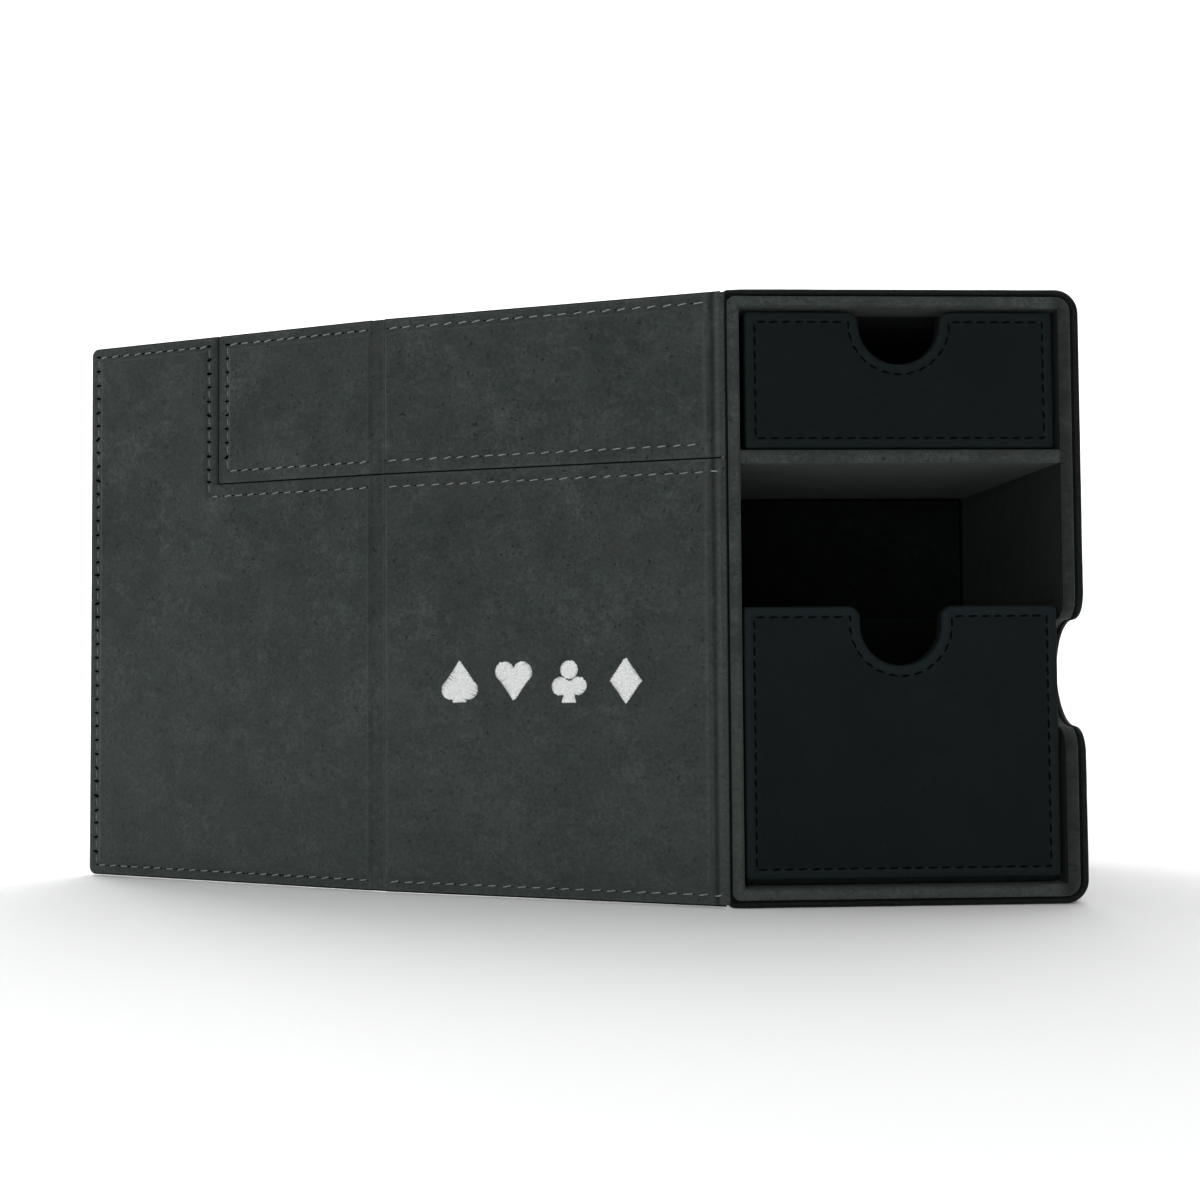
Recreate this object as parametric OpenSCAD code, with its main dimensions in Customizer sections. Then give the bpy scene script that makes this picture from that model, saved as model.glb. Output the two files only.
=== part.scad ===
// Upright card box with a small accessory drawer above a card tray, and a
// wrap-round magnetic cover hinged on the front left edge. The cover is cut
// into two flaps that open on their own: a short one over the drawer and an
// L-shaped one over the tray. The box is drawn with the cover opened out.
// +X right, +Y back, +Z up, origin at the centre of the base, millimetres.

/* [Case] */
// Outer width of the case
case_w = 83.5; // [80:0.5:95]
// Outer depth of the case
case_d = 88; // [80:0.5:110]
// Outer height of the case
case_h = 142.5; // [130:0.5:160]
// Thickness of the stiff boards inside the walls
board_t = 2; // [1.5:0.1:2.4]
// Thickness of the suede lining on the boards
lining_t = 0.7; // [0.4:0.1:1]
// Thickness of the padded outer cover on the top and the bottom
cover_t = 1.8; // [1.2:0.1:2.4]
// Thickness of the outer cover on the right wall
cover_right_t = 2.2; // [1.4:0.1:2.6]
// Thickness of the outer cover on the left wall, where the flaps leave it
cover_left_t = 1; // [0.8:0.1:1.6]
// Thickness of the cover panel on the back
cover_back_t = 1.7; // [1.2:0.1:2.4]
// Outer corner radius of the case on the right
corner_r = 5.5; // [3:0.5:5.5]
// Clear height of the upper bay
upper_bay_h = 33; // [28:0.5:40]
// Thickness of the divider between the bays, lining included
divider_t = 3.1; // [2.8:0.1:4]

/* [Finger notch in the right wall] */
// Half the width of the notch
notch_hw = 12.75; // [9:0.25:13]
// How far back the notch reaches
notch_depth = 19; // [19:1:30]
// Radius of the lips at the front edge
notch_lip = 6; // [3:0.5:7]
// Height of the notch's centre above the base
notch_z = 53; // [45:1:60]

/* [Drawer and tray] */
// Width of the accessory drawer's front
drawer_w = 72.4; // [70:0.1:73.5]
// Height of the accessory drawer's front
drawer_h = 32; // [26:0.1:32.2]
// Width of the card tray's front
tray_w = 73.1; // [70:0.1:73.6]
// Height of the card tray's front
tray_h = 62.6; // [50:0.1:75]
// Length of the drawer and the tray, front to back
box_len = 82; // [70:0.5:82]
// How far the fronts stand behind the case's front face
front_setback = 0.8; // [0.6:0.1:2]
// Board thickness of the drawer's and the tray's walls
wall_t = 1.6; // [1.2:0.1:2.2]
// Board thickness of the two fronts
front_t = 2; // [1.5:0.1:2.5]
// Thickness of the covering on the two fronts
skin_t = 0.8; // [0.5:0.1:1]
// Radius of the thumb notch in each front
thumb_r = 9.4; // [8:0.1:11]
// Depth of the drawer's thumb notch
drawer_thumb_d = 12.2; // [12.2:0.1:15]
// Depth of the tray's thumb notch
tray_thumb_d = 13.7; // [12.2:0.1:18]

/* [Flaps] */
// How far the front panels are swung past straight out
open_front = 20; // [0:1:35]
// How far the side panels bend back from the front panels
open_side = 4.5; // [0:0.1:20]
// Thickness of a flap panel
flap_t = 3.3; // [3:0.1:3.4]
// Height of the cut between the two flaps
cut_z = 103.3; // [95:0.1:110]
// Width of the cut between the two flaps
cut_w = 0.5; // [0.4:0.1:1.5]
// Width of the soft hinge beside the case
hinge_soft = 3.9; // [3.9:0.1:5]
// Width of the soft crease between its axis and the front panel
crease_a = 0.9; // [0.9:0.1:1.5]
// Width of the soft crease between its axis and the side panel
crease_b = 2.9; // [2.9:0.1:3.4]
// Length of the main flap's side panel from the crease
main_side_len = 90.5; // [88.5:0.5:91]
// Length of the drawer flap's side panel from the crease
drawer_side_len = 48.5; // [48:0.1:60]
// Diameter of the closing magnets
magnet_d = 8; // [6:0.5:10]

/* [Hidden] */
$fn = 48;

suede = [0.235, 0.255, 0.25];
leather = [0.09, 0.1, 0.105];
leather_front = [0.08, 0.1, 0.1];
board = [0.45, 0.42, 0.38];
steel = [0.7, 0.7, 0.72];
thread = [0.06, 0.06, 0.06];
pale_thread = [0.5, 0.52, 0.52];

// case planes
xl = -case_w/2;
xr = case_w/2;
yf = -case_d/2;
yb = case_d/2;
face_t = 0.8;                       // suede over the front edges of the boards
yf_board = yf + face_t;
bx0 = xl + cover_left_t;            // outside of the boards
bx1 = xr - cover_right_t;
bz0 = cover_t;
bz1 = case_h - cover_t;
yb_board = yb - cover_back_t;       // back of the back board
yb_in = yb_board - board_t;         // front of the back board
ix0 = bx0 + board_t + lining_t;     // clear inside of both bays
ix1 = bx1 - board_t - lining_t;
iy1 = yb_in - lining_t;
iz0 = bz0 + board_t + lining_t;
iz3 = bz1 - board_t - lining_t;
iz2 = iz3 - upper_bay_h;            // floor of the upper bay
iz1 = iz2 - divider_t;              // ceiling of the lower bay
bay_cx = (ix0 + ix1)/2;

// drawer and tray places
drawer_x0 = bay_cx - drawer_w/2;
drawer_z0 = iz2 + 0.3;
tray_x0 = bay_cx - 0.5 - tray_w/2;
tray_z0 = iz0 + 1.7;
front_y = yf + front_setback;
thumb_fillet = 2.8;

// flap planes, in the flap's own frame: x runs out along the panel and y is
// negative on the outer, leather side
hinge_x = xl - 0.15;
hinge_y = yf - 0.15;
in_y = -0.15;                       // suede face
out_y = in_y - flap_t;              // leather face
flap_skin = 1;
flap_suede = 0.6;
crease_x = xr + 3.35 - hinge_x;     // crease axis along the front panel
crease_y = -2.7;
front_s0 = hinge_soft;
front_s1 = crease_x - crease_a;
side_s0 = crease_b;
flap_z0 = 0.3;
flap_z1 = case_h - 0.3;
main_z1 = cut_z - cut_w/2;
strip_z0 = cut_z + cut_w/2;
l_s0 = drawer_side_len + 0.6;       // where the main flap's side panel is full height
hem = 3.6;                          // stitched border outside the flap boards
far_r = 2;                          // corner radii at a panel's far end and at the cut
cut_r = 0.5;
stitch_in = 2.6;                    // from a panel's outer edges to its stitches
stitch_cut = 3;                     // from the cut between the flaps to theirs
fold_in = 0.6;                      // from a panel's folded edges to its board
magnet_t = 1.2;
// where the magnets meet, from the base and from the case's middle
drawer_magnet_z = [112, 133];
drawer_magnet_y = -7;
main_magnet_z = [22, 72, 122];
main_magnet_y = 34;

function arc(c, r, a0, a1, n = 6) = r <= 0.02 ? [c] :
  [for (i = [0:n]) c + r*[cos(a0 + (a1 - a0)*i/n), sin(a0 + (a1 - a0)*i/n)]];

// rectangle with its own radius at each corner: bottom left, bottom right, top right, top left
function rounded(x0, x1, z0, z1, r) = concat(
  arc([x0 + r[0], z0 + r[0]], r[0], 180, 270),
  arc([x1 - r[1], z0 + r[1]], r[1], 270, 360),
  arc([x1 - r[2], z1 - r[2]], r[2], 0, 90),
  arc([x0 + r[3], z1 - r[3]], r[3], 90, 180));

// front of a drawer with a thumb notch in its top edge, drawn in by i all round
function front_outline(x0, z0, w, h, depth, i) =
  let (cx = x0 + w/2, top = z0 + h, rc = max(0, 0.8 - i), zc = top - depth + thumb_r, f = thumb_fillet)
  concat(
    arc([x0 + i + rc, z0 + i + rc], rc, 180, 270),
    arc([x0 + w - i - rc, z0 + i + rc], rc, 270, 360),
    arc([x0 + w - i - rc, top - i - rc], rc, 0, 90),
    arc([cx + thumb_r + f, top - f], f - i, 90, 180, 5),
    arc([cx, zc], thumb_r + i, 0, -180, 20),
    arc([cx - thumb_r - f, top - f], f - i, 0, 90, 5),
    arc([x0 + i + rc, top - i - rc], rc, 90, 180));

// L-shaped side panel of the main flap, drawn in by i all round
function l_outline(i) = concat(
  [[side_s0 + min(i, fold_in), flap_z0 + i]],
  arc([main_side_len - max(far_r, i), flap_z0 + max(far_r, i)], far_r - i, 270, 360),
  arc([main_side_len - max(far_r, i), flap_z1 - max(far_r, i)], far_r - i, 0, 90),
  arc([l_s0 + max(cut_r, i), flap_z1 - max(cut_r, i)], cut_r - i, 90, 180),
  [[l_s0 + i, main_z1 - i], [side_s0 + min(i, fold_in), main_z1 - i]]);

function strip_side_outline(i) = rounded(side_s0 + min(i, fold_in), drawer_side_len - i, strip_z0 + i, flap_z1 - i,
  [0, max(0, cut_r - i), max(0, cut_r - i), 0]);
function main_front_outline(i) = rounded(front_s0 + min(i, fold_in), front_s1 - min(i, fold_in), flap_z0 + i, main_z1 - i, [0, 0, 0, 0]);
function strip_front_outline(i) = rounded(front_s0 + min(i, fold_in), front_s1 - min(i, fold_in), strip_z0 + i, flap_z1 - i, [0, 0, 0, 0]);

// finger notch, open to the front, as y and z
function notch_outline() = concat(
  [[yf - 2, notch_z - notch_hw - notch_lip]],
  arc([yf + notch_lip, notch_z - notch_hw - notch_lip], notch_lip, 180, 90),
  arc([yf + notch_depth - notch_hw, notch_z], notch_hw, -90, 90, 20),
  arc([yf + notch_lip, notch_z + notch_hw + notch_lip], notch_lip, 270, 180),
  [[yf - 2, notch_z + notch_hw + notch_lip]]);

module box(x0, x1, y0, y1, z0, z1) translate([x0, y0, z0]) cube([x1 - x0, y1 - y0, z1 - z0]);

// a plate with an x-z outline, from y0 to y1
module plate(y0, y1) translate([0, y1, 0]) rotate([90, 0, 0]) linear_extrude(y1 - y0) children();

module notch_cut() translate([ix1 - 3, 0, 0]) rotate([90, 0, 90]) linear_extrude(16) polygon(notch_outline());

// frames of the flap panels at rest
module front_frame() translate([hinge_x, hinge_y, 0]) rotate([0, 0, 180 - open_front]) children();
module side_frame() front_frame() translate([crease_x, crease_y, 0]) rotate([0, 0, -open_side]) children();

// ---- case ----
module left_board() color(board) box(bx0, bx0 + board_t, yf_board, yb_in, bz0 + board_t, bz1 - board_t);
module right_board() color(board) difference() {
  box(bx1 - board_t, bx1, yf_board, yb_in, bz0 + board_t, bz1 - board_t);
  notch_cut();
  case_magnet_places(magnet_t + 1, magnet_d + 0.1);
}
module top_board() color(board) box(bx0, bx1, yf_board, yb_in, bz1 - board_t, bz1);
module bottom_board() color(board) box(bx0, bx1, yf_board, yb_in, bz0, bz0 + board_t);
module back_board() color(board) box(bx0, bx1, yb_in, yb_board, bz0, bz1);
module divider_board() color(board) box(bx0 + board_t, bx1 - board_t, yf_board, yb_in, iz1 + lining_t, iz2 - lining_t);

module rim_facing() color(suede) difference() {
  plate(yf, yf_board) difference() {
    polygon(rounded(bx0, bx1, bz0, bz1, [0.3, 1.5, 1.5, 0.3]));
    polygon(rounded(ix0, ix1, iz0, iz1, [1, 1, 1, 1]));
    polygon(rounded(ix0, ix1, iz2, iz3, [1, 1, 1, 1]));
  }
  notch_cut();
}

// suede in a bay: both sides, floor, ceiling and back
module bay_lining(z0, z1) difference() {
  box(ix0 - lining_t, ix1 + lining_t, yf_board, yb_in, z0 - lining_t, z1 + lining_t);
  box(ix0, ix1, yf_board - 1, iy1, z0, z1);
}
module upper_bay_lining() color(suede) bay_lining(iz2, iz3);
module lower_bay_lining() color(suede) difference() {
  bay_lining(iz0, iz1);
  notch_cut();
}

module outer_cover() color(leather) difference() {
  plate(yf + 0.2, yb_board) difference() {
    polygon(rounded(xl, xr, 0, case_h, [1, corner_r, corner_r, 1]));
    polygon([[bx0, bz0], [bx1, bz0], [bx1, bz1], [bx0, bz1]]);
  }
  notch_cut();
}
module back_cover() color(leather) plate(yb_board, yb)
  polygon(rounded(xl, xr, 0, case_h, [1, corner_r, corner_r, 1]));

// discs let into the outside of the right board
module case_magnet_places(t, d) {
  for (z = drawer_magnet_z) translate([bx1 - magnet_t, drawer_magnet_y, z]) rotate([0, 90, 0]) cylinder(d = d, h = t);
  for (z = main_magnet_z) translate([bx1 - magnet_t, main_magnet_y, z]) rotate([0, 90, 0]) cylinder(d = d, h = t);
}
module case_magnets() color(steel) case_magnet_places(magnet_t, magnet_d);

// ---- accessory drawer and card tray ----
module front_board_of(x0, z0, w, h, depth) color(board)
  plate(front_y + skin_t, front_y + skin_t + front_t) polygon(front_outline(x0, z0, w, h, depth, skin_t));
module front_cover_of(x0, z0, w, h, depth) color(leather_front) difference() {
  plate(front_y, front_y + skin_t + front_t) polygon(front_outline(x0, z0, w, h, depth, 0));
  plate(front_y + skin_t, front_y + skin_t + front_t + 1) polygon(front_outline(x0, z0, w, h, depth, skin_t));
}
module front_thread_of(x0, z0, w, h, depth) color(thread)
  plate(front_y - 0.2, front_y) difference() {
    polygon(front_outline(x0, z0, w, h, depth, 2.2));
    polygon(front_outline(x0, z0, w, h, depth, 2.6));
  }

// y where the boxes behind the fronts begin, and where they end
box_y0 = front_y + skin_t + front_t;
box_y1 = front_y + box_len;

module side_wall_of(x, z0, z1) box(x, x + wall_t, box_y0, box_y1, z0, z1);
// suede over the floor, the walls and the inside of the front, which keeps its notch
module lining_of(x0, x1, z0, z1) difference() {
  box(x0 + wall_t, x1 - wall_t, box_y0, box_y1 - wall_t, z0 + wall_t, z1 - 1);
  box(x0 + wall_t + lining_t, x1 - wall_t - lining_t, box_y0 + lining_t, box_y1 - wall_t - lining_t, z0 + wall_t + lining_t, z1);
  plate(box_y0 - 1, box_y0 + lining_t + 0.01) children();
}
// the notch alone, as a solid outline that reaches above the front
module thumb_outline(x0, z0, w, h, depth) polygon(concat(
  arc([x0 + w/2, z0 + h - depth + thumb_r], thumb_r, -180, 0, 20),
  [[x0 + w/2 + thumb_r, z0 + h + 2], [x0 + w/2 - thumb_r, z0 + h + 2]]));

module drawer_front_board() front_board_of(drawer_x0, drawer_z0, drawer_w, drawer_h, drawer_thumb_d);
module drawer_front_cover() front_cover_of(drawer_x0, drawer_z0, drawer_w, drawer_h, drawer_thumb_d);
module drawer_front_stitching() front_thread_of(drawer_x0, drawer_z0, drawer_w, drawer_h, drawer_thumb_d);
dx0 = drawer_x0 + 0.3;
dx1 = drawer_x0 + drawer_w - 0.3;
dz0 = drawer_z0;
dz1 = drawer_z0 + drawer_h - 0.6;
module drawer_left_wall() color(leather_front) side_wall_of(dx0, dz0, dz1);
module drawer_right_wall() color(leather_front) side_wall_of(dx1 - wall_t, dz0, dz1);
module drawer_back_wall() color(leather_front) box(dx0 + wall_t, dx1 - wall_t, box_y1 - wall_t, box_y1, dz0, dz1);
module drawer_floor() color(leather_front) box(dx0 + wall_t, dx1 - wall_t, box_y0, box_y1 - wall_t, dz0, dz0 + wall_t);
module drawer_lining() color(suede) lining_of(dx0, dx1, dz0, dz1)
  thumb_outline(drawer_x0, drawer_z0, drawer_w, drawer_h, drawer_thumb_d);

module tray_front_board() front_board_of(tray_x0, tray_z0, tray_w, tray_h, tray_thumb_d);
module tray_front_cover() front_cover_of(tray_x0, tray_z0, tray_w, tray_h, tray_thumb_d);
module tray_front_stitching() front_thread_of(tray_x0, tray_z0, tray_w, tray_h, tray_thumb_d);
tx0 = tray_x0 + 0.3;
tx1 = tray_x0 + tray_w - 0.3;
tz0 = iz0 + 0.3;
tz1 = tray_z0 + tray_h - 0.6;
module tray_left_wall() color(leather_front) side_wall_of(tx0, tz0, tz1);
module tray_right_wall() color(leather_front) side_wall_of(tx1 - wall_t, tz0, tz1);
module tray_back_wall() color(leather_front) box(tx0 + wall_t, tx1 - wall_t, box_y1 - wall_t, box_y1, tz0, tz1);
module tray_floor() color(leather_front) box(tx0 + wall_t, tx1 - wall_t, box_y0, box_y1 - wall_t, tz0, tz0 + wall_t);
module tray_lining() color(suede) lining_of(tx0, tx1, tz0, tz1)
  thumb_outline(tray_x0, tray_z0, tray_w, tray_h, tray_thumb_d);

// ---- flaps ----
// Each panel is a leather pan with its hem turned up, a board in the pan and a
// suede sheet over both. o is the outer face's y.
module pan(o) color(leather) difference() {
  plate(o, o + flap_t - flap_suede) children(0);
  plate(o + flap_skin, o + flap_t) children(1);
}
module panel_board(o) color(board) plate(o + flap_skin, o + flap_t - flap_suede) children();
module panel_lining(o) color(suede) plate(o + flap_t - flap_suede, o + flap_t) children();
// thread along straight runs on the suede face: pairs of end points
module runs(y, list) color(pale_thread) for (p = list)
  box(min(p[0][0], p[1][0]) - 0.2, max(p[0][0], p[1][0]) + 0.2, y, y + 0.12, min(p[0][1], p[1][1]) - 0.2, max(p[0][1], p[1][1]) + 0.2);

side_o = out_y - crease_y;          // outer face in the side panel's frame
side_in = side_o + flap_t;

module main_flap_front_cover() front_frame() pan(out_y) {
  polygon(main_front_outline(0));
  polygon(main_front_outline(hem));
}
module main_flap_front_board() front_frame() panel_board(out_y) polygon(main_front_outline(hem));
module main_flap_front_lining() front_frame() panel_lining(out_y) polygon(main_front_outline(0.3));
module main_flap_front_stitching() front_frame() runs(in_y, [
  [[front_s0 + 3, flap_z0 + stitch_in], [front_s1 - 3, flap_z0 + stitch_in]],
  [[front_s0 + 3, main_z1 - stitch_cut], [front_s1 - 3, main_z1 - stitch_cut]]]);

module drawer_flap_front_cover() front_frame() pan(out_y) {
  polygon(strip_front_outline(0));
  polygon(strip_front_outline(hem));
}
module drawer_flap_front_board() front_frame() panel_board(out_y) polygon(strip_front_outline(hem));
module drawer_flap_front_lining() front_frame() panel_lining(out_y) polygon(strip_front_outline(0.3));
module drawer_flap_front_stitching() front_frame() runs(in_y, [
  [[front_s0 + 3, strip_z0 + stitch_cut], [front_s1 - 3, strip_z0 + stitch_cut]],
  [[front_s0 + 3, flap_z1 - stitch_in], [front_s1 - 3, flap_z1 - stitch_in]]]);

// y of a case magnet along the closed side panel, from the crease axis
function magnet_s(y) = y - (hinge_y + crease_y);
module flap_magnet_places(y, zs, t, d) for (z = zs)
  translate([magnet_s(y), side_in - flap_suede - magnet_t, z]) rotate([-90, 0, 0]) cylinder(d = d, h = t);

module main_flap_side_cover() side_frame() pan(side_o) {
  polygon(l_outline(0));
  polygon(l_outline(hem));
}
module main_flap_side_board() color(board) side_frame() difference() {
  panel_board(side_o) polygon(l_outline(hem));
  flap_magnet_places(main_magnet_y, main_magnet_z, magnet_t + 1, magnet_d + 0.1);
}
module main_flap_side_lining() side_frame() panel_lining(side_o) polygon(l_outline(0.3));
module main_flap_magnets() color(steel) side_frame() flap_magnet_places(main_magnet_y, main_magnet_z, magnet_t, magnet_d);
module main_flap_side_stitching() side_frame() runs(side_in, [
  [[side_s0 + 3, flap_z0 + stitch_in], [main_side_len - stitch_in - 0.6, flap_z0 + stitch_in]],
  [[main_side_len - stitch_in, flap_z0 + stitch_in + 0.6], [main_side_len - stitch_in, flap_z1 - stitch_in - 0.6]],
  [[l_s0 + stitch_in + 0.6, flap_z1 - stitch_in], [main_side_len - stitch_in - 0.6, flap_z1 - stitch_in]],
  [[l_s0 + stitch_in, main_z1 - stitch_cut + 0.6], [l_s0 + stitch_in, flap_z1 - stitch_in - 0.6]],
  [[side_s0 + 3, main_z1 - stitch_cut], [l_s0 + stitch_in - 0.6, main_z1 - stitch_cut]]]);

module drawer_flap_side_cover() side_frame() pan(side_o) {
  polygon(strip_side_outline(0));
  polygon(strip_side_outline(hem));
}
module drawer_flap_side_board() color(board) side_frame() difference() {
  panel_board(side_o) polygon(strip_side_outline(hem));
  flap_magnet_places(drawer_magnet_y, drawer_magnet_z, magnet_t + 1, magnet_d + 0.1);
}
module drawer_flap_side_lining() side_frame() panel_lining(side_o) polygon(strip_side_outline(0.3));
module drawer_flap_magnets() color(steel) side_frame() flap_magnet_places(drawer_magnet_y, drawer_magnet_z, magnet_t, magnet_d);
module drawer_flap_side_stitching() side_frame() runs(side_in, [
  [[side_s0 + 3, strip_z0 + stitch_cut], [drawer_side_len - stitch_in - 0.6, strip_z0 + stitch_cut]],
  [[drawer_side_len - stitch_in, strip_z0 + stitch_cut + 0.6], [drawer_side_len - stitch_in, flap_z1 - stitch_in - 0.6]],
  [[side_s0 + 3, flap_z1 - stitch_in], [drawer_side_len - stitch_in - 0.6, flap_z1 - stitch_in]]]);

// The soft hinge: leather from the case's corner to the panel's outer edge and
// suede to its inner edge, so its section is a wedge.
module hinge_strip(z0, z1) color(leather) front_frame() translate([0, 0, z0])
  linear_extrude(z1 - z0) polygon([[0.35, -0.3], [front_s0, in_y - 0.3], [front_s0, out_y + 0.3], [0.55, -0.75]]);
module main_flap_hinge_strip() hinge_strip(flap_z0 + 0.3, main_z1 - 0.3);
module drawer_flap_hinge_strip() hinge_strip(strip_z0 + 0.3, flap_z1 - 0.3);

// The soft crease: leather and suede without a board, bent with the panels
module crease_strip(z0, z1) color(leather) front_frame() translate([0, 0, z0]) linear_extrude(z1 - z0)
  polygon(let (a = -open_side, c = [crease_x, crease_y], o = side_o + 0.1, p = side_o + 1.4)
    [[front_s1, crease_y + o], c + o*[sin(-a), cos(a)],
     c + (crease_b - 0.15)*[cos(a), sin(a)] + o*[-sin(a), cos(a)],
     c + (crease_b - 0.15)*[cos(a), sin(a)] + p*[-sin(a), cos(a)],
     c + p*[sin(-a), cos(a)], [front_s1, crease_y + p]]);
module main_flap_crease_strip() crease_strip(flap_z0 + 0.3, main_z1 - 0.3);
module drawer_flap_crease_strip() crease_strip(strip_z0 + 0.3, flap_z1 - 0.3);

// ---- a row of the four card suits in raised thread ----
pip_w = 9.5;
module heart() {
  translate([-pip_w*0.24, pip_w*0.22]) circle(d = pip_w*0.52);
  translate([pip_w*0.24, pip_w*0.22]) circle(d = pip_w*0.52);
  polygon([[-pip_w*0.46, pip_w*0.1], [0, -pip_w*0.52], [pip_w*0.46, pip_w*0.1], [0, pip_w*0.3]]);
}
module stem() polygon([[-pip_w*0.2, -pip_w*0.55], [pip_w*0.2, -pip_w*0.55], [pip_w*0.05, 0], [-pip_w*0.05, 0]]);
module pip(n) {
  if (n == 0) union() { rotate([0, 0, 180]) heart(); stem(); }
  if (n == 1) union() { heart(); }
  if (n == 2) union() {
    for (a = [-30, 90, 210]) translate(pip_w*0.27*[cos(a), sin(a)]) circle(d = pip_w*0.46);
    stem();
  }
  if (n == 3) polygon([[0, -pip_w*0.58], [pip_w*0.42, 0], [0, pip_w*0.58], [-pip_w*0.42, 0]]);
}
module suit_embroidery() color([0.9, 0.9, 0.9]) front_frame() for (n = [0:3])
  translate([(front_s0 + front_s1)/2 + (1.5 - n)*14, in_y + 0.25, 52]) rotate([90, 0, 0]) linear_extrude(0.25) pip(n);

left_board();
right_board();
top_board();
bottom_board();
back_board();
divider_board();
rim_facing();
upper_bay_lining();
lower_bay_lining();
outer_cover();
back_cover();
case_magnets();
drawer_front_board();
drawer_front_cover();
drawer_left_wall();
drawer_right_wall();
drawer_back_wall();
drawer_floor();
drawer_lining();
drawer_front_stitching();
tray_front_board();
tray_front_cover();
tray_left_wall();
tray_right_wall();
tray_back_wall();
tray_floor();
tray_lining();
tray_front_stitching();
main_flap_hinge_strip();
main_flap_front_board();
main_flap_front_cover();
main_flap_front_lining();
main_flap_front_stitching();
suit_embroidery();
main_flap_crease_strip();
main_flap_side_board();
main_flap_side_cover();
main_flap_side_lining();
main_flap_side_stitching();
main_flap_magnets();
drawer_flap_hinge_strip();
drawer_flap_front_board();
drawer_flap_front_cover();
drawer_flap_front_lining();
drawer_flap_front_stitching();
drawer_flap_crease_strip();
drawer_flap_side_board();
drawer_flap_side_cover();
drawer_flap_side_lining();
drawer_flap_side_stitching();
drawer_flap_magnets();
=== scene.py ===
# Upright card box with an accessory drawer above a card tray and a wrap-round
# cover in two flaps, opened out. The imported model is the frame; this script
# builds the finish of every surface around it. Lengths in the helpers are in
# millimetres, in the row frame, and become metres when a mesh is made.
import bpy
import bmesh
import math
import numpy as np
from mathutils import Matrix, Vector, noise
from mathutils.geometry import delaunay_2d_cdt


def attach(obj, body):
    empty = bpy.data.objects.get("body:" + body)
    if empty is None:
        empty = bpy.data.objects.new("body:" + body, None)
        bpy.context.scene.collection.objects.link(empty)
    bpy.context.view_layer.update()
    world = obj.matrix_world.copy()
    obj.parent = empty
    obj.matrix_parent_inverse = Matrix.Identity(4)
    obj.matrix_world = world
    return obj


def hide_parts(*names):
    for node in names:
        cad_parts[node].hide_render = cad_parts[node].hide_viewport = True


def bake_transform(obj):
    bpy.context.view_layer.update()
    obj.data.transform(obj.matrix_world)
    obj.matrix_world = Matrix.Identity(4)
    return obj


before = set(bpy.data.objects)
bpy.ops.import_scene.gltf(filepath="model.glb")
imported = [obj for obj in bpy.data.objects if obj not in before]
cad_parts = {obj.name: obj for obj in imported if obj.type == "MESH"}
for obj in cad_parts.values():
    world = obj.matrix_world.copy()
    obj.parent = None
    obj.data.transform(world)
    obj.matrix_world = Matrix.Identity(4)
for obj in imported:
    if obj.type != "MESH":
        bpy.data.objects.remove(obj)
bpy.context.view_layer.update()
scene = bpy.context.scene

# ---------------------------------------------------------------- camera
def make_camera():
    yaw, pitch, roll = (math.radians(a) for a in (2.422, -2.210, -0.426))
    rz = Matrix.Rotation(yaw, 3, "Z")
    rx = Matrix.Rotation(pitch, 3, "X")
    ry = Matrix.Rotation(roll, 3, "Y")
    to_cam = ry @ rx @ rz
    to_world = to_cam.transposed()
    right = to_world @ Vector((1, 0, 0))
    ahead = to_world @ Vector((0, 1, 0))
    up = to_world @ Vector((0, 0, 1))
    data = bpy.data.cameras.new("camera")
    data.sensor_width = 36
    data.sensor_fit = "HORIZONTAL"
    data.lens = 36 * 1471.8 / 1200
    data.clip_start, data.clip_end = 0.02, 50
    cam = bpy.data.objects.new("camera", data)
    m = Matrix((right, up, -ahead)).transposed().to_4x4()
    m.translation = Vector((-0.08484, -0.37955, 0.05756))
    cam.matrix_world = m
    scene.collection.objects.link(cam)
    scene.camera = cam


make_camera()

# ---------------------------------------------------------------- dimensions (mm)
XL, XR, YF, YB, H = -41.75, 41.75, -44.0, 44.0, 142.5
BX0, BX1, BZ0, BZ1 = -40.75, 39.55, 1.8, 140.7     # outside of the boards
IX0, IX1, IY1 = -38.05, 36.85, 39.6                # clear inside of the bays
IZ0, IZ1, IZ2, IZ3 = 4.5, 101.9, 105.0, 138.0
YBB = 42.3                                          # back of the back board
NOTCH_HW, NOTCH_D, NOTCH_LIP, NOTCH_Z = 12.75, 19.0, 6.0, 53.0
HX, HY = -41.9, -44.15                              # hinge axis
FRONT_A, SIDE_A = math.radians(160), math.radians(-4.5)
CREASE_S, CREASE_Y = 87.0, -2.7
IN_Y, OUT_Y = -0.15, -3.45
FLAP_Z0, FLAP_Z1, MAIN_Z1, STRIP_Z0 = 0.3, 142.2, 103.05, 103.55
HEM_DROP = 0.5                                      # the stitched hem lies this much below the boards


def front_frame(p):
    """Front panel's own frame (s, y, z) to the row frame."""
    c, s = math.cos(FRONT_A), math.sin(FRONT_A)
    return np.stack([HX + c * p[:, 0] - s * p[:, 1], HY + s * p[:, 0] + c * p[:, 1], p[:, 2]], 1)


def side_frame(p):
    """Side panel's own frame to the row frame."""
    c, s = math.cos(SIDE_A), math.sin(SIDE_A)
    q = np.stack([CREASE_S + c * p[:, 0] - s * p[:, 1], CREASE_Y + s * p[:, 0] + c * p[:, 1], p[:, 2]], 1)
    return front_frame(q)


def smooth(x):
    x = np.clip(x, 0, 1)
    return x * x * (3 - 2 * x)


def drop(d, r):
    """How far a rounded edge of radius r lies below the full height at distance d."""
    x = np.clip(1 - np.asarray(d, float) / r, 0, 1)
    return r * (1 - np.sqrt(np.maximum(0, 1 - x * x)))


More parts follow.
